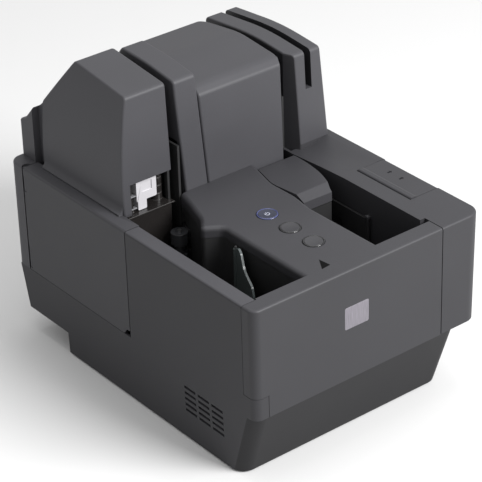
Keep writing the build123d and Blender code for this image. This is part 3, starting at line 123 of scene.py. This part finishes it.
def blank_finish(name, roughness, specular=0.5, metallic=0.0):
    """A node material, its tree and its shader, with the gloss values that hold all over it."""
    finish = bpy.data.materials.new(name)
    finish.use_nodes = True
    shader = finish.node_tree.nodes["Principled BSDF"]
    shader.inputs["Roughness"].default_value = roughness
    shader.inputs["Specular IOR Level"].default_value = specular
    shader.inputs["Metallic"].default_value = metallic
    return finish, finish.node_tree, shader


def tone_between(tree, source, dark, light, low=0.3, high=0.7):
    """A colour that runs from dark to light as the source goes from low to high."""
    ramp = add_node(tree, "ValToRGB")
    for stop, place, colour in zip(ramp.color_ramp.elements, (low, high), (dark, light)):
        stop.position = place
        stop.color = (*colour, 1)
    tree.links.new(source, ramp.inputs["Fac"])
    return ramp.outputs["Color"]


def scaled(colour, share):
    """The colour made lighter or darker by a share."""
    return tuple(channel * share for channel in colour)


def laid_on(tree, *textures):
    """Lays the textures on the piece in metres, from the object's own place."""
    place = add_node(tree, "TexCoord").outputs["Object"]
    for texture in textures:
        tree.links.new(place, texture.inputs["Vector"])


def relief_from(tree, shader, height, strength, depth):
    """Relief on the surface that rises and falls with the height, depth metres at most."""
    bump = add_node(tree, "Bump", {"Strength": strength, "Distance": depth})
    tree.links.new(height, bump.inputs["Height"])
    tree.links.new(bump.outputs["Normal"], shader.inputs["Normal"])


def summed(tree, first, share, second):
    """Share of the first value with the second added to it."""
    total = add_node(tree, "Math", {1: share}, operation="MULTIPLY_ADD")
    tree.links.new(first, total.inputs[0])
    tree.links.new(second, total.inputs[2])
    return total.outputs["Value"]


def roughness_between(tree, shader, source, low, high):
    """Roughness that goes from low to high with the source."""
    gloss = add_node(tree, "MapRange", {"To Min": low, "To Max": high})
    tree.links.new(source, gloss.inputs["Value"])
    tree.links.new(gloss.outputs["Result"], shader.inputs["Roughness"])


PIT_DEPTH = 0.00005       # how far the spark-eroded pits sink
GLOSS_DRIFT = 0.06        # how far a moulding's roughness strays either way


def moulded_plastic(name, colour, roughness, specular=0.28, grain=0.00045, mottle=0.1):
    """Textured moulding: grain is the width of its pits, mottle how far its colour strays."""
    finish, tree, shader = blank_finish(name, roughness, specular)
    pits = add_node(tree, "TexVoronoi", {"Scale": 1 / grain})
    cloud = add_node(tree, "TexNoise", {"Scale": 0.6 / grain, "Detail": 3})
    drift = add_node(tree, "TexNoise", {"Scale": 14, "Detail": 2})
    laid_on(tree, pits, cloud, drift)
    pitted = summed(tree, pits.outputs["Distance"], 0.5, cloud.outputs["Fac"])
    relief_from(tree, shader, pitted, 0.35, PIT_DEPTH)
    patch = add_node(tree, "Mix", {0: 0.5})
    tree.links.new(cloud.outputs["Fac"], patch.inputs[2])
    tree.links.new(drift.outputs["Fac"], patch.inputs[3])
    tone = tone_between(tree, patch.outputs[0], scaled(colour, 1 - mottle),
                        scaled(colour, 1 + mottle))
    tree.links.new(tone, shader.inputs["Base Color"])
    roughness_between(tree, shader, drift.outputs["Fac"], roughness - GLOSS_DRIFT,
                      roughness + GLOSS_DRIFT)
    return finish


def new_piece(name, shape, finishes, body, replaced=()):
    """A finished piece from a bmesh, riding on its body and standing for the replaced nodes."""
    mesh = bpy.data.meshes.new(name)
    shape.to_mesh(mesh)
    shape.free()
    for finish in finishes:
        mesh.materials.append(finish)
    piece = bpy.data.objects.new(name, mesh)
    bpy.context.collection.objects.link(piece)
    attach(piece, body)
    if replaced:
        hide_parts(*replaced)
    return piece


WELD = 0.000012           # corners nearer than this are one
FLAT_FOLD = math.radians(0.2)         # a fold below this is flat
SHARP_FOLD = math.radians(32)         # a fold above this is an edge, and is rounded


def rounded_moulding(node, body, finishes, edge=0.00035, choose=None):
    """The node's own form with its edges rounded: the last of its finishes is for the edges, and
    choose gives the number of a face's finish from its middle and its normal."""
    shape = bmesh.new()
    shape.from_mesh(nodes[node].data)
    bmesh.ops.remove_doubles(shape, verts=shape.verts, dist=WELD)
    bmesh.ops.dissolve_limit(shape, angle_limit=FLAT_FOLD, verts=shape.verts,
                             edges=shape.edges, delimit={"NORMAL"})
    for face in shape.faces:
        face.smooth = True
        if choose:
            face.material_index = choose(face.calc_center_median(), face.normal)
    piece = new_piece(f"{node}_moulding", shape, finishes, body, (node,))
    rounding = piece.modifiers.new("edges", "BEVEL")
    rounding.width = edge
    rounding.segments = 2
    rounding.limit_method = "ANGLE"
    rounding.angle_limit = SHARP_FOLD
    rounding.material = len(finishes) - 1
    piece.modifiers.new("flats", "WEIGHTED_NORMAL")


EDGE_SHADE = 0.4          # every rounded edge is painted this share of the side's grey, as painted shade for the seams
UNDERCUT = -0.12          # a face that leans out more than this belongs to the skirt, which is painted in shade
RIM_TOP = 0.6             # a face that looks up more than this is the top of the rim, which is painted in light
# One moulding in lit and shaded copies of one grey, chosen by which way a face looks: painted shade
# on the skirt, painted light on the rim's top.
SKIRT_SHADED_GREY = (0.0115, 0.0113, 0.0126)
SIDE_GREY = (0.0262, 0.0259, 0.0288)
RIM_LIT_GREY = (0.05, 0.0495, 0.055)
skirt_painted_shade = moulded_plastic("skirt_painted_shade", SKIRT_SHADED_GREY, 0.6, grain=0.0006)
side_grain = moulded_plastic("side_grain", SIDE_GREY, 0.55)
rim_painted_light = moulded_plastic("rim_painted_light", RIM_LIT_GREY, 0.5)
base_edge_painted_shade = moulded_plastic("base_edge_painted_shade", scaled(SIDE_GREY, EDGE_SHADE), 0.6)


def base_light_by_face(middle, normal):
    """Coarse grain in a painted-shade black on the leaning skirt, finer grain in a middle grey on
    the sides, and finer grain in a painted-light grey on top of the rim.
    """
    if normal.z < UNDERCUT:
        return 0
    return 2 if normal.z > RIM_TOP else 1


rounded_moulding("base_case", "case", (skirt_painted_shade, side_grain, rim_painted_light, base_edge_painted_shade),
                 choose=base_light_by_face)


# ---------------------------------------------------------------------------------------------
# Floor plate, feet, screws and pins. The plate is pressed steel under black paint, held by plain
# pan-head screws; turned steel pins carry the hinges and idlers, and rubber pads are the feet.
def dress(finish, *names):
    """Gives the named CAD pieces their finish."""
    for name in names:
        mesh = nodes[name].data
        mesh.materials.clear()
        mesh.materials.append(finish)


GRINDING_DEPTH = 0.00002
PEEL_DEPTH = 0.00004      # orange peel of the paint
RUBBER_DEPTH = 0.00008    # grinding rings of the rubber
RING_SCALE = 0.314        # scale of a wave texture whose bands are 1 m apart


def ground_steel(name, colour, roughness, along):
    """Bright steel with fine grinding lines; along is how much the lines stretch on X, Y and Z."""
    finish, tree, shader = blank_finish(name, roughness, metallic=1.0)
    turn = add_node(tree, "Mapping", {"Scale": along})
    lines = add_node(tree, "TexNoise", {"Scale": 900, "Detail": 4})
    stain = add_node(tree, "TexNoise", {"Scale": 60, "Detail": 2})
    laid_on(tree, turn, stain)
    tree.links.new(turn.outputs["Vector"], lines.inputs["Vector"])
    tone = tone_between(tree, lines.outputs["Fac"], scaled(colour, 0.8), scaled(colour, 1.12))
    tree.links.new(tone, shader.inputs["Base Color"])
    roughness_between(tree, shader, stain.outputs["Fac"], roughness - 0.08, roughness + 0.12)
    relief_from(tree, shader, lines.outputs["Fac"], 0.15, GRINDING_DEPTH)
    return finish


def painted_sheet(name, colour):
    """Black baked enamel on steel, with its faint orange peel and a few dull scuffs."""
    finish, tree, shader = blank_finish(name, 0.4)
    peel = add_node(tree, "TexNoise", {"Scale": 700, "Detail": 2})
    scuff = add_node(tree, "TexNoise", {"Scale": 35, "Detail": 6, "Distortion": 0.6})
    laid_on(tree, peel, scuff)
    relief_from(tree, shader, peel.outputs["Fac"], 0.25, PEEL_DEPTH)
    tone = tone_between(tree, scuff.outputs["Fac"], colour, scaled(colour, 1.8), 0.5, 0.75)
    tree.links.new(tone, shader.inputs["Base Color"])
    roughness_between(tree, shader, scuff.outputs["Fac"], 0.32, 0.55)
    return finish


def soft_rubber(name, colour, ring=0.0009, roughness=0.7):
    """Ground rubber: ring is the pitch of the grinding rings, which lie level."""
    finish, tree, shader = blank_finish(name, roughness, 0.3)
    rings = add_node(tree, "TexWave", {"Scale": RING_SCALE / ring, "Distortion": 1.5, "Detail": 2},
                     bands_direction="Z")
    dust = add_node(tree, "TexNoise", {"Scale": 420, "Detail": 4})
    laid_on(tree, rings, dust)
    ground = summed(tree, rings.outputs["Fac"], 0.3, dust.outputs["Fac"])
    relief_from(tree, shader, ground, 0.3, RUBBER_DEPTH)
    tone = tone_between(tree, dust.outputs["Fac"], scaled(colour, 0.75), scaled(colour, 1.7),
                        0.35, 0.8)
    tree.links.new(tone, shader.inputs["Base Color"])
    return finish


PLATE_BLACK = (0.016, 0.016, 0.017)
RUBBER_BLACK = (0.012, 0.012, 0.012)
dress(painted_sheet("floor_paint", PLATE_BLACK), "chassis_plate")
dress(soft_rubber("foot_rubber", RUBBER_BLACK), "rubber_feet")
pin_steel = ground_steel("pin_steel", (0.46, 0.46, 0.47), 0.32, (0.4, 0.4, 6))
dress(pin_steel, "case_pins", "left_idler_pin", "right_pins", "case_screws")


# ---------------------------------------------------------------------------------------------
# Boards and sockets. The main board and the key board are green solder-masked laminate with black
# parts soldered on; the data socket has a folded steel shell, the power inlet a black body.
def circuit_board(name, mask, parts, top):
    """Solder mask up to the height top, with the black bodies of the parts above it."""
    finish, tree, shader = blank_finish(name, 0.35)
    height = add_node(tree, "SeparateXYZ")
    above = add_node(tree, "Math", {1: top}, operation="GREATER_THAN")
    tree.links.new(height.outputs["Z"], above.inputs[0])
    tracks = add_node(tree, "TexBrick", {"Scale": 90, "Mortar Size": 0.012, "Brick Width": 0.9,
                                         "Row Height": 0.13})
    tracks.inputs["Color1"].default_value = (*mask, 1)
    tracks.inputs["Color2"].default_value = (*scaled(mask, 0.7), 1)
    tracks.inputs["Mortar"].default_value = (*scaled(mask, 1.9), 1)
    body = add_node(tree, "TexNoise", {"Scale": 500, "Detail": 3})
    laid_on(tree, height, tracks, body)
    black = tone_between(tree, body.outputs["Fac"], scaled(parts, 0.7), scaled(parts, 1.4))
    tone = add_node(tree, "Mix", data_type="RGBA")
    tree.links.new(above.outputs["Value"], tone.inputs[0])
    tree.links.new(tracks.outputs["Color"], tone.inputs[6])
    tree.links.new(black, tone.inputs[7])
    tree.links.new(tone.outputs[2], shader.inputs["Base Color"])
    return finish


BOARD_THICK = 0.0016
SOLDER_THICK = 0.0001
MASK_GREEN = (0.008, 0.07, 0.03)
PARTS_BLACK = (0.012, 0.012, 0.012)
for node in ("main_board", "button_board"):
    board_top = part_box(node)[0].z + BOARD_THICK + SOLDER_THICK
    dress(circuit_board(f"{node}_laminate", MASK_GREEN, PARTS_BLACK, board_top), node)
dress(ground_steel("socket_steel", (0.5, 0.5, 0.5), 0.34, (5, 1, 1)), "usb_socket")
dress(moulded_plastic("inlet_black", PARTS_BLACK, 0.4, grain=0.0002), "power_inlet")

# ---------------------------------------------------------------------------------------------
# Drive. The motor is a drawn steel can pressed to its end plate; its pulley turns steel shafts by
# ribbed rubber belts, and the shafts carry ground rubber tyres on hubs.
dress(ground_steel("motor_steel", (0.42, 0.42, 0.43), 0.3, (0.5, 0.5, 5)), "motor")
shaft_steel = ground_steel("shaft_steel", (0.52, 0.52, 0.53), 0.28, (0.5, 0.5, 8))
dress(shaft_steel, "motor_pulley", "retard_shaft")
tyre_rubber = soft_rubber("tyre_rubber", (0.016, 0.016, 0.017))
for name in ("right", "rear", "left", "exit", "feed", "pick"):
    dress(shaft_steel, f"{name}_shaft")
    dress(tyre_rubber, f"{name}_tyres")
dress(soft_rubber("retard_rubber", (0.04, 0.04, 0.042)), "retard_tyres")
dress(soft_rubber("belt_rubber", RUBBER_BLACK, ring=0.0016, roughness=0.6), "drive_belts")

# ---------------------------------------------------------------------------------------------
# Track. The channel walls, pocket walls and feed housing are black mouldings with a smoother skin
# than the covers, so that paper slides; each scan head is a black bar with its pale light strip
# behind a strip of clear glass, and the two magnetic heads are potted blocks with bright faces.
TRACK_BLACK = (0.021, 0.021, 0.0215)
track_skin = moulded_plastic("track_skin", TRACK_BLACK, 0.38, specular=0.4, grain=0.0003)
dress(track_skin, "core_wall", "feed_housing", "inner_guide", "rear_guide", "left_guide",
      "right_guide")


BAR_BLACKS = ((0.006, 0.006, 0.007), (0.016, 0.016, 0.018))
STRIP_PALES = ((0.5, 0.52, 0.48), (0.7, 0.72, 0.66))
GLASS_TINTS = ((0.82, 0.9, 0.88), (0.93, 0.97, 0.96))


def scan_bar(name, near, far):
    """Black sensor body with an upright pale light strip from Y near to Y far."""
    finish, tree, shader = blank_finish(name, 0.45)
    across = add_node(tree, "SeparateXYZ")
    beyond = add_node(tree, "Math", {1: near}, operation="GREATER_THAN")
    before = add_node(tree, "Math", {1: far}, operation="LESS_THAN")
    strip = add_node(tree, "Math", operation="MULTIPLY")
    for test in (beyond, before):
        tree.links.new(across.outputs["Y"], test.inputs[0])
    tree.links.new(beyond.outputs["Value"], strip.inputs[0])
    tree.links.new(before.outputs["Value"], strip.inputs[1])
    cells = add_node(tree, "TexNoise", {"Scale": 300, "Detail": 3})
    laid_on(tree, across, cells)
    black = tone_between(tree, cells.outputs["Fac"], *BAR_BLACKS)
    pale = tone_between(tree, cells.outputs["Fac"], *STRIP_PALES)
    tone = add_node(tree, "Mix", data_type="RGBA")
    tree.links.new(strip.outputs["Value"], tone.inputs[0])
    tree.links.new(black, tone.inputs[6])
    tree.links.new(pale, tone.inputs[7])
    tree.links.new(tone.outputs[2], shader.inputs["Base Color"])
    return finish


STRIP_WIDE = 0.0022
STRIP_AFTER = 0.001       # how far behind the bar's middle the light strip starts
for node in ("inner_sensor", "outer_sensor"):
    low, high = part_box(node)
    strip_near = (low.y + high.y) / 2 + STRIP_AFTER
    dress(scan_bar(f"{node}_body", strip_near, strip_near + STRIP_WIDE), node)
glass, glass_tree, glass_shader = blank_finish("scan_glass", 0.03)
glass_shader.inputs["Transmission Weight"].default_value = 1
glass_shader.inputs["IOR"].default_value = 1.5
smear = add_node(glass_tree, "TexNoise", {"Scale": 90, "Detail": 3})
laid_on(glass_tree, smear)
glass_tint = tone_between(glass_tree, smear.outputs["Fac"], *GLASS_TINTS)
glass_tree.links.new(glass_tint, glass_shader.inputs["Base Color"])
dress(glass, "inner_glass", "outer_glass")
dress(ground_steel("head_steel", (0.4, 0.39, 0.37), 0.3, (1, 1, 6)), "ink_head", "card_head")

# ---------------------------------------------------------------------------------------------
# Front cover. One satin charcoal moulding makes the front, the rim and the panel between the
# pockets; it clips to the base and carries a printed arrow and a bare satin metal badge plate.
COVER_GREY = (0.046, 0.0455, 0.0505)
SEAM_SHADE = 0.3          # every rounded edge is painted this share of the cover's grey, as painted shade for the seams
FRONT_SHADE = 0.6         # shares of the cover's grey painted as shade on the front and on the panel
PANEL_SHADE = 0.82
FACING = 0.5              # a face looks one way when its normal leans that way by more than this
cover_grain = moulded_plastic("cover_grain", COVER_GREY, 0.5)
cover_edge_painted_shade = moulded_plastic("cover_edge_painted_shade", scaled(COVER_GREY, SEAM_SHADE), 0.6)
# The cover is one grey: its front faces and its up-facing panel and rim take darker copies of it,
# painted shade.
front_painted_shade = moulded_plastic("front_painted_shade", scaled(COVER_GREY, FRONT_SHADE), 0.52)
panel_painted_shade = moulded_plastic("panel_painted_shade", scaled(COVER_GREY, PANEL_SHADE), 0.5)
rounded_moulding("front_cover", "case", (front_painted_shade, panel_painted_shade, cover_edge_painted_shade),
                 choose=lambda middle, normal: int(normal.z > FACING))


def printing_ink(name, colour):
    """Matt pad-printed ink, with the slight cloudiness of a thin coat."""
    finish, tree, shader = blank_finish(name, roughness=0.85, specular=0.1)
    cloud = add_node(tree, "TexNoise", {"Scale": 1500, "Detail": 3})
    laid_on(tree, cloud)
    tone = tone_between(tree, cloud.outputs["Fac"], scaled(colour, 0.85), scaled(colour, 1.15))
    tree.links.new(tone, shader.inputs["Base Color"])
    return finish


def height_at(node, x, y):
    """Height of the node's upper surface above a point of the plan."""
    shape = bmesh.new()
    shape.from_mesh(nodes[node].data)
    hit = BVHTree.FromBMesh(shape).ray_cast(Vector((x, y, 1)), Vector((0, 0, -1)))[0]
    shape.free()
    return hit.z


INK_THICK = 0.00012
INK_PROUD = 0.00006       # how far the ink stands above the plastic


def printed_mark(name, corners, ground, finish, body):
    """A printed shape with those (x, y) corners on plastic whose top is at ground."""
    shape = bmesh.new()
    height = ground + INK_PROUD
    face = shape.faces.new([shape.verts.new((x, y, height - INK_THICK)) for x, y in corners])
    top = bmesh.ops.extrude_face_region(shape, geom=[face])["geom"]
    bmesh.ops.translate(shape, verts=[v for v in top if isinstance(v, bmesh.types.BMVert)],
                        vec=(0, 0, INK_THICK))
    bmesh.ops.recalc_face_normals(shape, faces=shape.faces)
    new_piece(name, shape, (finish,), body)


ARROW = ((-0.0292, -0.1319), (-0.0365, -0.1440), (-0.0278, -0.1432))
ARROW_MIDDLE = (-0.031, -0.14)
black_ink = printing_ink("black_ink", (0.002, 0.002, 0.0022))
printed_mark("panel_arrow", ARROW, height_at("front_cover", *ARROW_MIDDLE), black_ink, "case")

BADGE_CORNER = 0.0015
BADGE_BEVEL = 0.00025
badge_metal = ground_steel("badge_metal", (0.27, 0.255, 0.285), 0.4, (2.5, 1, 0.1))
badge_low, badge_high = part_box("badge_plate")
badge = bmesh.new()
bmesh.ops.create_cube(badge, size=1)
bmesh.ops.scale(badge, verts=badge.verts, vec=badge_high - badge_low)
bmesh.ops.translate(badge, verts=badge.verts, vec=(badge_high + badge_low) / 2)
corner_edges = [e for e in badge.edges if abs(e.verts[0].co.y - e.verts[1].co.y) > BADGE_BEVEL]
bmesh.ops.bevel(badge, geom=corner_edges, offset=BADGE_CORNER, segments=5, profile=0.5,
                affect="EDGES", material=-1)
front_face = min(badge.faces, key=lambda f: f.calc_center_median().y)
bmesh.ops.bevel(badge, geom=list(front_face.edges), offset=BADGE_BEVEL, segments=2, profile=0.5,
                affect="EDGES", material=-1)
new_piece("badge", badge, (badge_metal,), "case", ("badge_plate",))

# ---------------------------------------------------------------------------------------------
# Centre block. The block cover over the U of the track and the narrow strip beside the left
# channel are separate satin mouldings screwed down from below.
for node in ("block_cover", "block_strip"):
    rounded_moulding(node, "case", (cover_grain, cover_edge_painted_shade))

# ---------------------------------------------------------------------------------------------
# Feed lid. The small lid over the pick and feed rollers is a satin moulding that hinges up on a
# pin at the foot of the block.
# The lid takes the panel's darker copy of the cover's grey, painted shade.
rounded_moulding("feed_cover", "feed_lid", (panel_painted_shade, cover_edge_painted_shade))

# ---------------------------------------------------------------------------------------------
# Rear cover. A satin moulding closes the back behind the block, round the turn of the track, and
# the hinge pins of the two swinging units stand in its corners.
rounded_moulding("rear_cover", "case", (cover_grain, cover_edge_painted_shade))

# ---------------------------------------------------------------------------------------------
# Left unit. Its cover carries the tower over the imprinter; behind the tower's window a glossy
# black cradle holds a white ink cartridge, which slides out to the front.
CRADLE_BLACK = (0.014, 0.0125, 0.012)
# The cradle's rounded edges are painted lighter than its black, a painted highlight.
CRADLE_EDGE_HIGHLIGHT = (0.034, 0.032, 0.031)
SMOOTH_GRAIN = 0.0002     # pits of a polished mould
TOWER_FOOT = 0.158
REVEAL_FOOT = TOWER_FOOT - 0.01       # the window's reveal is between these heights
WINDOW_TOP = 0.19
WINDOW_RIGHT = -0.055
SIDE_COVER_SHADE = 0.76   # share of the cover's grey painted below the tower as shade
side_cover_painted_shade = moulded_plastic("side_cover_painted_shade", scaled(COVER_GREY, SIDE_COVER_SHADE), 0.52)
cradle_skin = moulded_plastic("cradle_skin", CRADLE_BLACK, 0.25, specular=0.5,
                              grain=SMOOTH_GRAIN, mottle=0.2)
cradle_edge_highlight = moulded_plastic("cradle_edge_highlight", CRADLE_EDGE_HIGHLIGHT, 0.45, specular=0.4, grain=SMOOTH_GRAIN)


def left_shade_by_face(middle, normal):
    """Charcoal grain on the tower, painted shade below it, and the cradle's black painted on the
    window's reveal as shade.
    """
    if REVEAL_FOOT < middle.z < WINDOW_TOP and middle.x < WINDOW_RIGHT and normal.x > FACING:
        return 2
    return int(middle.z < TOWER_FOOT)


rounded_moulding("left_cover", "left_unit",
                 (cover_grain, side_cover_painted_shade, cradle_skin, cover_edge_painted_shade),
                 choose=left_shade_by_face)
rounded_moulding("cartridge_cradle", "left_unit", (cradle_skin, cradle_edge_highlight),
                 edge=0.0004)
cartridge_white = moulded_plastic("cartridge_white", (0.46, 0.45, 0.47), 0.32, specular=0.5,
                                  grain=SMOOTH_GRAIN, mottle=0.04)
rounded_moulding("ink_cartridge", "cartridge", (cartridge_white,),
                 edge=0.0005)
RIB_SIZE = Vector((0.0058, 0.004, 0.0011))
RIB_PLACES = (0.0024, 0.0134)         # heights above the cartridge's foot
RIB_FRONT = 0.0006
RIB_ROOT = 0.0005         # how far a rib reaches into the cartridge
RIB_EDGE = 0.0003
rib_grey = moulded_plastic("rib_grey", (0.16, 0.16, 0.17), 0.35, specular=0.5, grain=SMOOTH_GRAIN)
cartridge_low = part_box("ink_cartridge")[0]
ribs = bmesh.new()
for rise in RIB_PLACES:
    bar = bmesh.ops.create_cube(ribs, size=1)["verts"]
    bmesh.ops.scale(ribs, verts=bar, vec=RIB_SIZE)
    bmesh.ops.translate(ribs, verts=bar, vec=cartridge_low + Vector(
        (RIB_ROOT - RIB_SIZE.x / 2, RIB_FRONT + RIB_SIZE.y / 2, rise)))
bmesh.ops.bevel(ribs, geom=list(ribs.edges), offset=RIB_EDGE, segments=2, profile=0.5,
                affect="EDGES", material=-1)
new_piece("cartridge_ribs", ribs, (rib_grey,), "cartridge")

# ---------------------------------------------------------------------------------------------
# Right unit. Its cover makes the right deck and the card column; a flush lever of the same plastic
# at the outer edge, marked with two small printed arrows, lets the unit swing open.
DECK_TOP = 0.1595         # above this is the column, below it the deck and the sides
DECK_SHADE = 0.78         # shares of the cover's grey painted as shade on the deck and on the lead-in
LEAD_SHADE = 0.4
LEAD_FACING = -0.6        # the slanted lead-in to the track faces left by more than this
deck_painted_shade = moulded_plastic("deck_painted_shade", scaled(COVER_GREY, DECK_SHADE), 0.5)
lead_painted_shade = moulded_plastic("lead_painted_shade", scaled(COVER_GREY, LEAD_SHADE), 0.45)


def right_shade_by_face(middle, normal):
    """Charcoal grain on the column, painted shade on the deck and sides, and deeper painted shade
    on the smoother lead-in where the paper runs.
    """
    if middle.z > DECK_TOP:
        return 2 if normal.x < LEAD_FACING else 0
    return 1 if normal.z > FACING else 3


rounded_moulding("right_cover", "right_unit",
                 (cover_grain, deck_painted_shade, lead_painted_shade, front_painted_shade, cover_edge_painted_shade),
                 choose=right_shade_by_face)
# The lever takes the deck's painted shade.
rounded_moulding("release_lever", "lever", (deck_painted_shade, cover_edge_painted_shade))
POINTER = ((-0.0022, -0.0008), (0.0005, -0.0008), (0.0005, -0.0019), (0.0024, 0),
           (0.0005, 0.0019), (0.0005, 0.0008), (-0.0022, 0.0008))
POINTER_OUT = 0.002       # how far outside the lever's middle line the arrows lie
pointer_ink = printing_ink("pointer_ink", (0.012, 0.012, 0.014))
lever_low, lever_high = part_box("release_lever")
lever_middle = (lever_low + lever_high) / 2
for mark, along in (("lever_arrow_rear", 0.0125), ("lever_arrow_front", -0.0015)):
    spot = Vector((lever_middle.x + POINTER_OUT, lever_middle.y + along))
    printed_mark(mark, [(spot.x + u, spot.y + v) for u, v in POINTER],
                 height_at("release_lever", spot.x, spot.y), pointer_ink, "lever")

# ---------------------------------------------------------------------------------------------
# Keys. Three round push keys of satin plastic stand just proud of the panel, each with a dished
# top inside a fine glossy ring; the rear one is a dull blue lens with a white symbol.
KEY_STEM = 0.0025         # radius of the stem under the key
KEY_TOP_THICK = 0.003
KEY_SKIRT_LONG = 0.0066
KEY_RING = 0.0013         # width of the ring
KEY_RIM_WIDE = 0.0016     # width of the rim with its ring
KEY_RIM = ((0, 0.0006), (0.0002, 0.0002), (0.0006, 0), (0.001, 0.0001), (0.00115, 0.00042),
           (0.0014, 0.00042), (0.00155, 0.0001))      # inwards from the skirt, down from the top
KEY_DISH = 0.06           # radius of the dished top
KEY_TOP_DEEP = 0.0005
DISH_STEPS = 6
KEY_SEGMENTS = 64
KEY_WELD = 0.000001       # corners nearer than this are one
KEY_SHADE = 0.72          # share of the cover's grey painted on the key tops as shade
key_painted_shade = moulded_plastic("key_painted_shade", scaled(COVER_GREY, KEY_SHADE), 0.36, specular=0.5)
# The grey keys' ring is painted near-black as the shade in its groove; the lens's ring is a lighter
# blue, a painted highlight on its rim.
key_ring_painted_shade = moulded_plastic("key_ring_painted_shade", (0.012, 0.012, 0.013), 0.2, specular=0.6)
lens_blue = moulded_plastic("lens_blue", (0.034, 0.037, 0.054), 0.3, specular=0.4, mottle=0.3)
lens_ring_highlight = moulded_plastic("lens_ring_highlight", (0.045, 0.052, 0.13), 0.2, specular=0.6)
symbol_white = printing_ink("symbol_white", (0.5, 0.52, 0.6))


def push_key(node, body, finishes):
    """A turned key: stem, skirt, rolled rim, fine ring and dished top, spun about its centre."""
    low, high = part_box(node)
    middle = (low + high) / 2
    wide = (high.x - low.x) / 2
    top = high.z
    rim = wide - KEY_RIM_WIDE
    under = top - KEY_TOP_THICK
    foot = top - KEY_SKIRT_LONG
    profile = [(0, low.z), (KEY_STEM, low.z), (KEY_STEM, under), (rim, under), (rim, foot),
               (wide, foot)]
    profile += [(wide - inwards, top - down) for inwards, down in KEY_RIM]
    for step in range(DISH_STEPS + 1):
        out = rim * (1 - step / DISH_STEPS)
        profile.append((out, top - KEY_TOP_DEEP + KEY_DISH - math.sqrt(KEY_DISH ** 2 - out ** 2)))
    shape = bmesh.new()
    line = [shape.verts.new((middle.x + r, middle.y, z)) for r, z in profile]
    edges = [shape.edges.new(pair) for pair in zip(line, line[1:])]
    bmesh.ops.spin(shape, geom=line + edges, cent=(middle.x, middle.y, 0), axis=(0, 0, 1),
                   angle=2 * math.pi, steps=KEY_SEGMENTS, use_merge=True)
    bmesh.ops.remove_doubles(shape, verts=shape.verts, dist=KEY_WELD)
    bmesh.ops.recalc_face_normals(shape, faces=shape.faces)
    for face in shape.faces:
        face.smooth = True
        centre = face.calc_center_median()
        out = math.hypot(centre.x - middle.x, centre.y - middle.y)
        face.material_index = int(out > wide - KEY_RING and centre.z > top - KEY_TOP_DEEP)
    piece = new_piece(f"{body}_cap", shape, finishes, body, (node,))
    piece.modifiers.new("flats", "WEIGHTED_NORMAL")


for node, body, finishes in (("power_button", "power_key", (lens_blue, lens_ring_highlight)),
                             ("menu_button", "menu_key", (key_painted_shade, key_ring_painted_shade)),
                             ("eject_button", "eject_key", (key_painted_shade, key_ring_painted_shade))):
    push_key(node, body, finishes)

SYMBOL_R = 0.0021
SYMBOL_WIDE = 0.00045
SYMBOL_THICK = 0.00014
SYMBOL_PROUD = 0.0001
SYMBOL_START = math.radians(125)
SYMBOL_SWEEP = math.radians(290)
BAR_RISE = 0.7            # the bar's middle is at this share of the circle's radius
key_low, key_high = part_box("power_button")
key_middle = (key_low + key_high) / 2
symbol_top = key_high.z - KEY_TOP_DEEP + SYMBOL_PROUD
symbol = bmesh.new()
section = [symbol.verts.new((key_middle.x + r, key_middle.y, symbol_top + z)) for r, z in
           ((SYMBOL_R - SYMBOL_WIDE, -SYMBOL_THICK), (SYMBOL_R, -SYMBOL_THICK), (SYMBOL_R, 0),
            (SYMBOL_R - SYMBOL_WIDE, 0))]
symbol_face = symbol.faces.new(section)
bmesh.ops.rotate(symbol, verts=section, cent=key_middle,
                 matrix=Matrix.Rotation(SYMBOL_START, 3, "Z"))
bmesh.ops.spin(symbol, geom=section + list(symbol_face.edges) + [symbol_face],
               cent=(key_middle.x, key_middle.y, 0), axis=(0, 0, 1), angle=SYMBOL_SWEEP, steps=24)
bar = bmesh.ops.create_cube(symbol, size=1)["verts"]
bmesh.ops.scale(symbol, verts=bar, vec=(SYMBOL_WIDE, SYMBOL_R, SYMBOL_THICK))
bmesh.ops.translate(symbol, verts=bar, vec=(key_middle.x, key_middle.y + SYMBOL_R * BAR_RISE,
                                            symbol_top - SYMBOL_THICK / 2))
bmesh.ops.recalc_face_normals(symbol, faces=symbol.faces)
new_piece("power_symbol", symbol, (symbol_white,), "power_key")

# ---------------------------------------------------------------------------------------------
# Paper handling in the pockets. A dark smoked fin steers cheques to the left of the output pocket,
# a sprung black plate presses them in the feed pocket, and free acetal rollers back the tyres.
FLAP_GREY = (0.05, 0.06, 0.06)
PRESSER_BLACK = (0.018, 0.018, 0.019)
ACETAL_GREY = (0.03, 0.031, 0.034)
THIN_EDGE = 0.0003        # rounding of these small pieces
flap_skin = moulded_plastic("flap_skin", FLAP_GREY, 0.3, specular=0.5, grain=SMOOTH_GRAIN,
                            mottle=0.2)
# The fin's rounded edges are painted lighter than its face, a painted highlight.
flap_edge_highlight = moulded_plastic("flap_edge_highlight", scaled(FLAP_GREY, 1.4), 0.4, specular=0.3,
                            grain=SMOOTH_GRAIN)
rounded_moulding("stacker_flap", "flap", (flap_skin, flap_edge_highlight), edge=THIN_EDGE)
presser_skin = moulded_plastic("presser_skin", PRESSER_BLACK, 0.35, specular=0.5,
                               grain=SMOOTH_GRAIN)
rounded_moulding("presser_plate", "presser", (presser_skin,), edge=THIN_EDGE)
acetal = moulded_plastic("acetal", ACETAL_GREY, 0.3, specular=0.5, grain=SMOOTH_GRAIN)
for name in ("right", "rear", "left", "exit"):
    rounded_moulding(f"{name}_idler", f"{name}_idler_roller", (acetal,),
                     edge=THIN_EDGE)
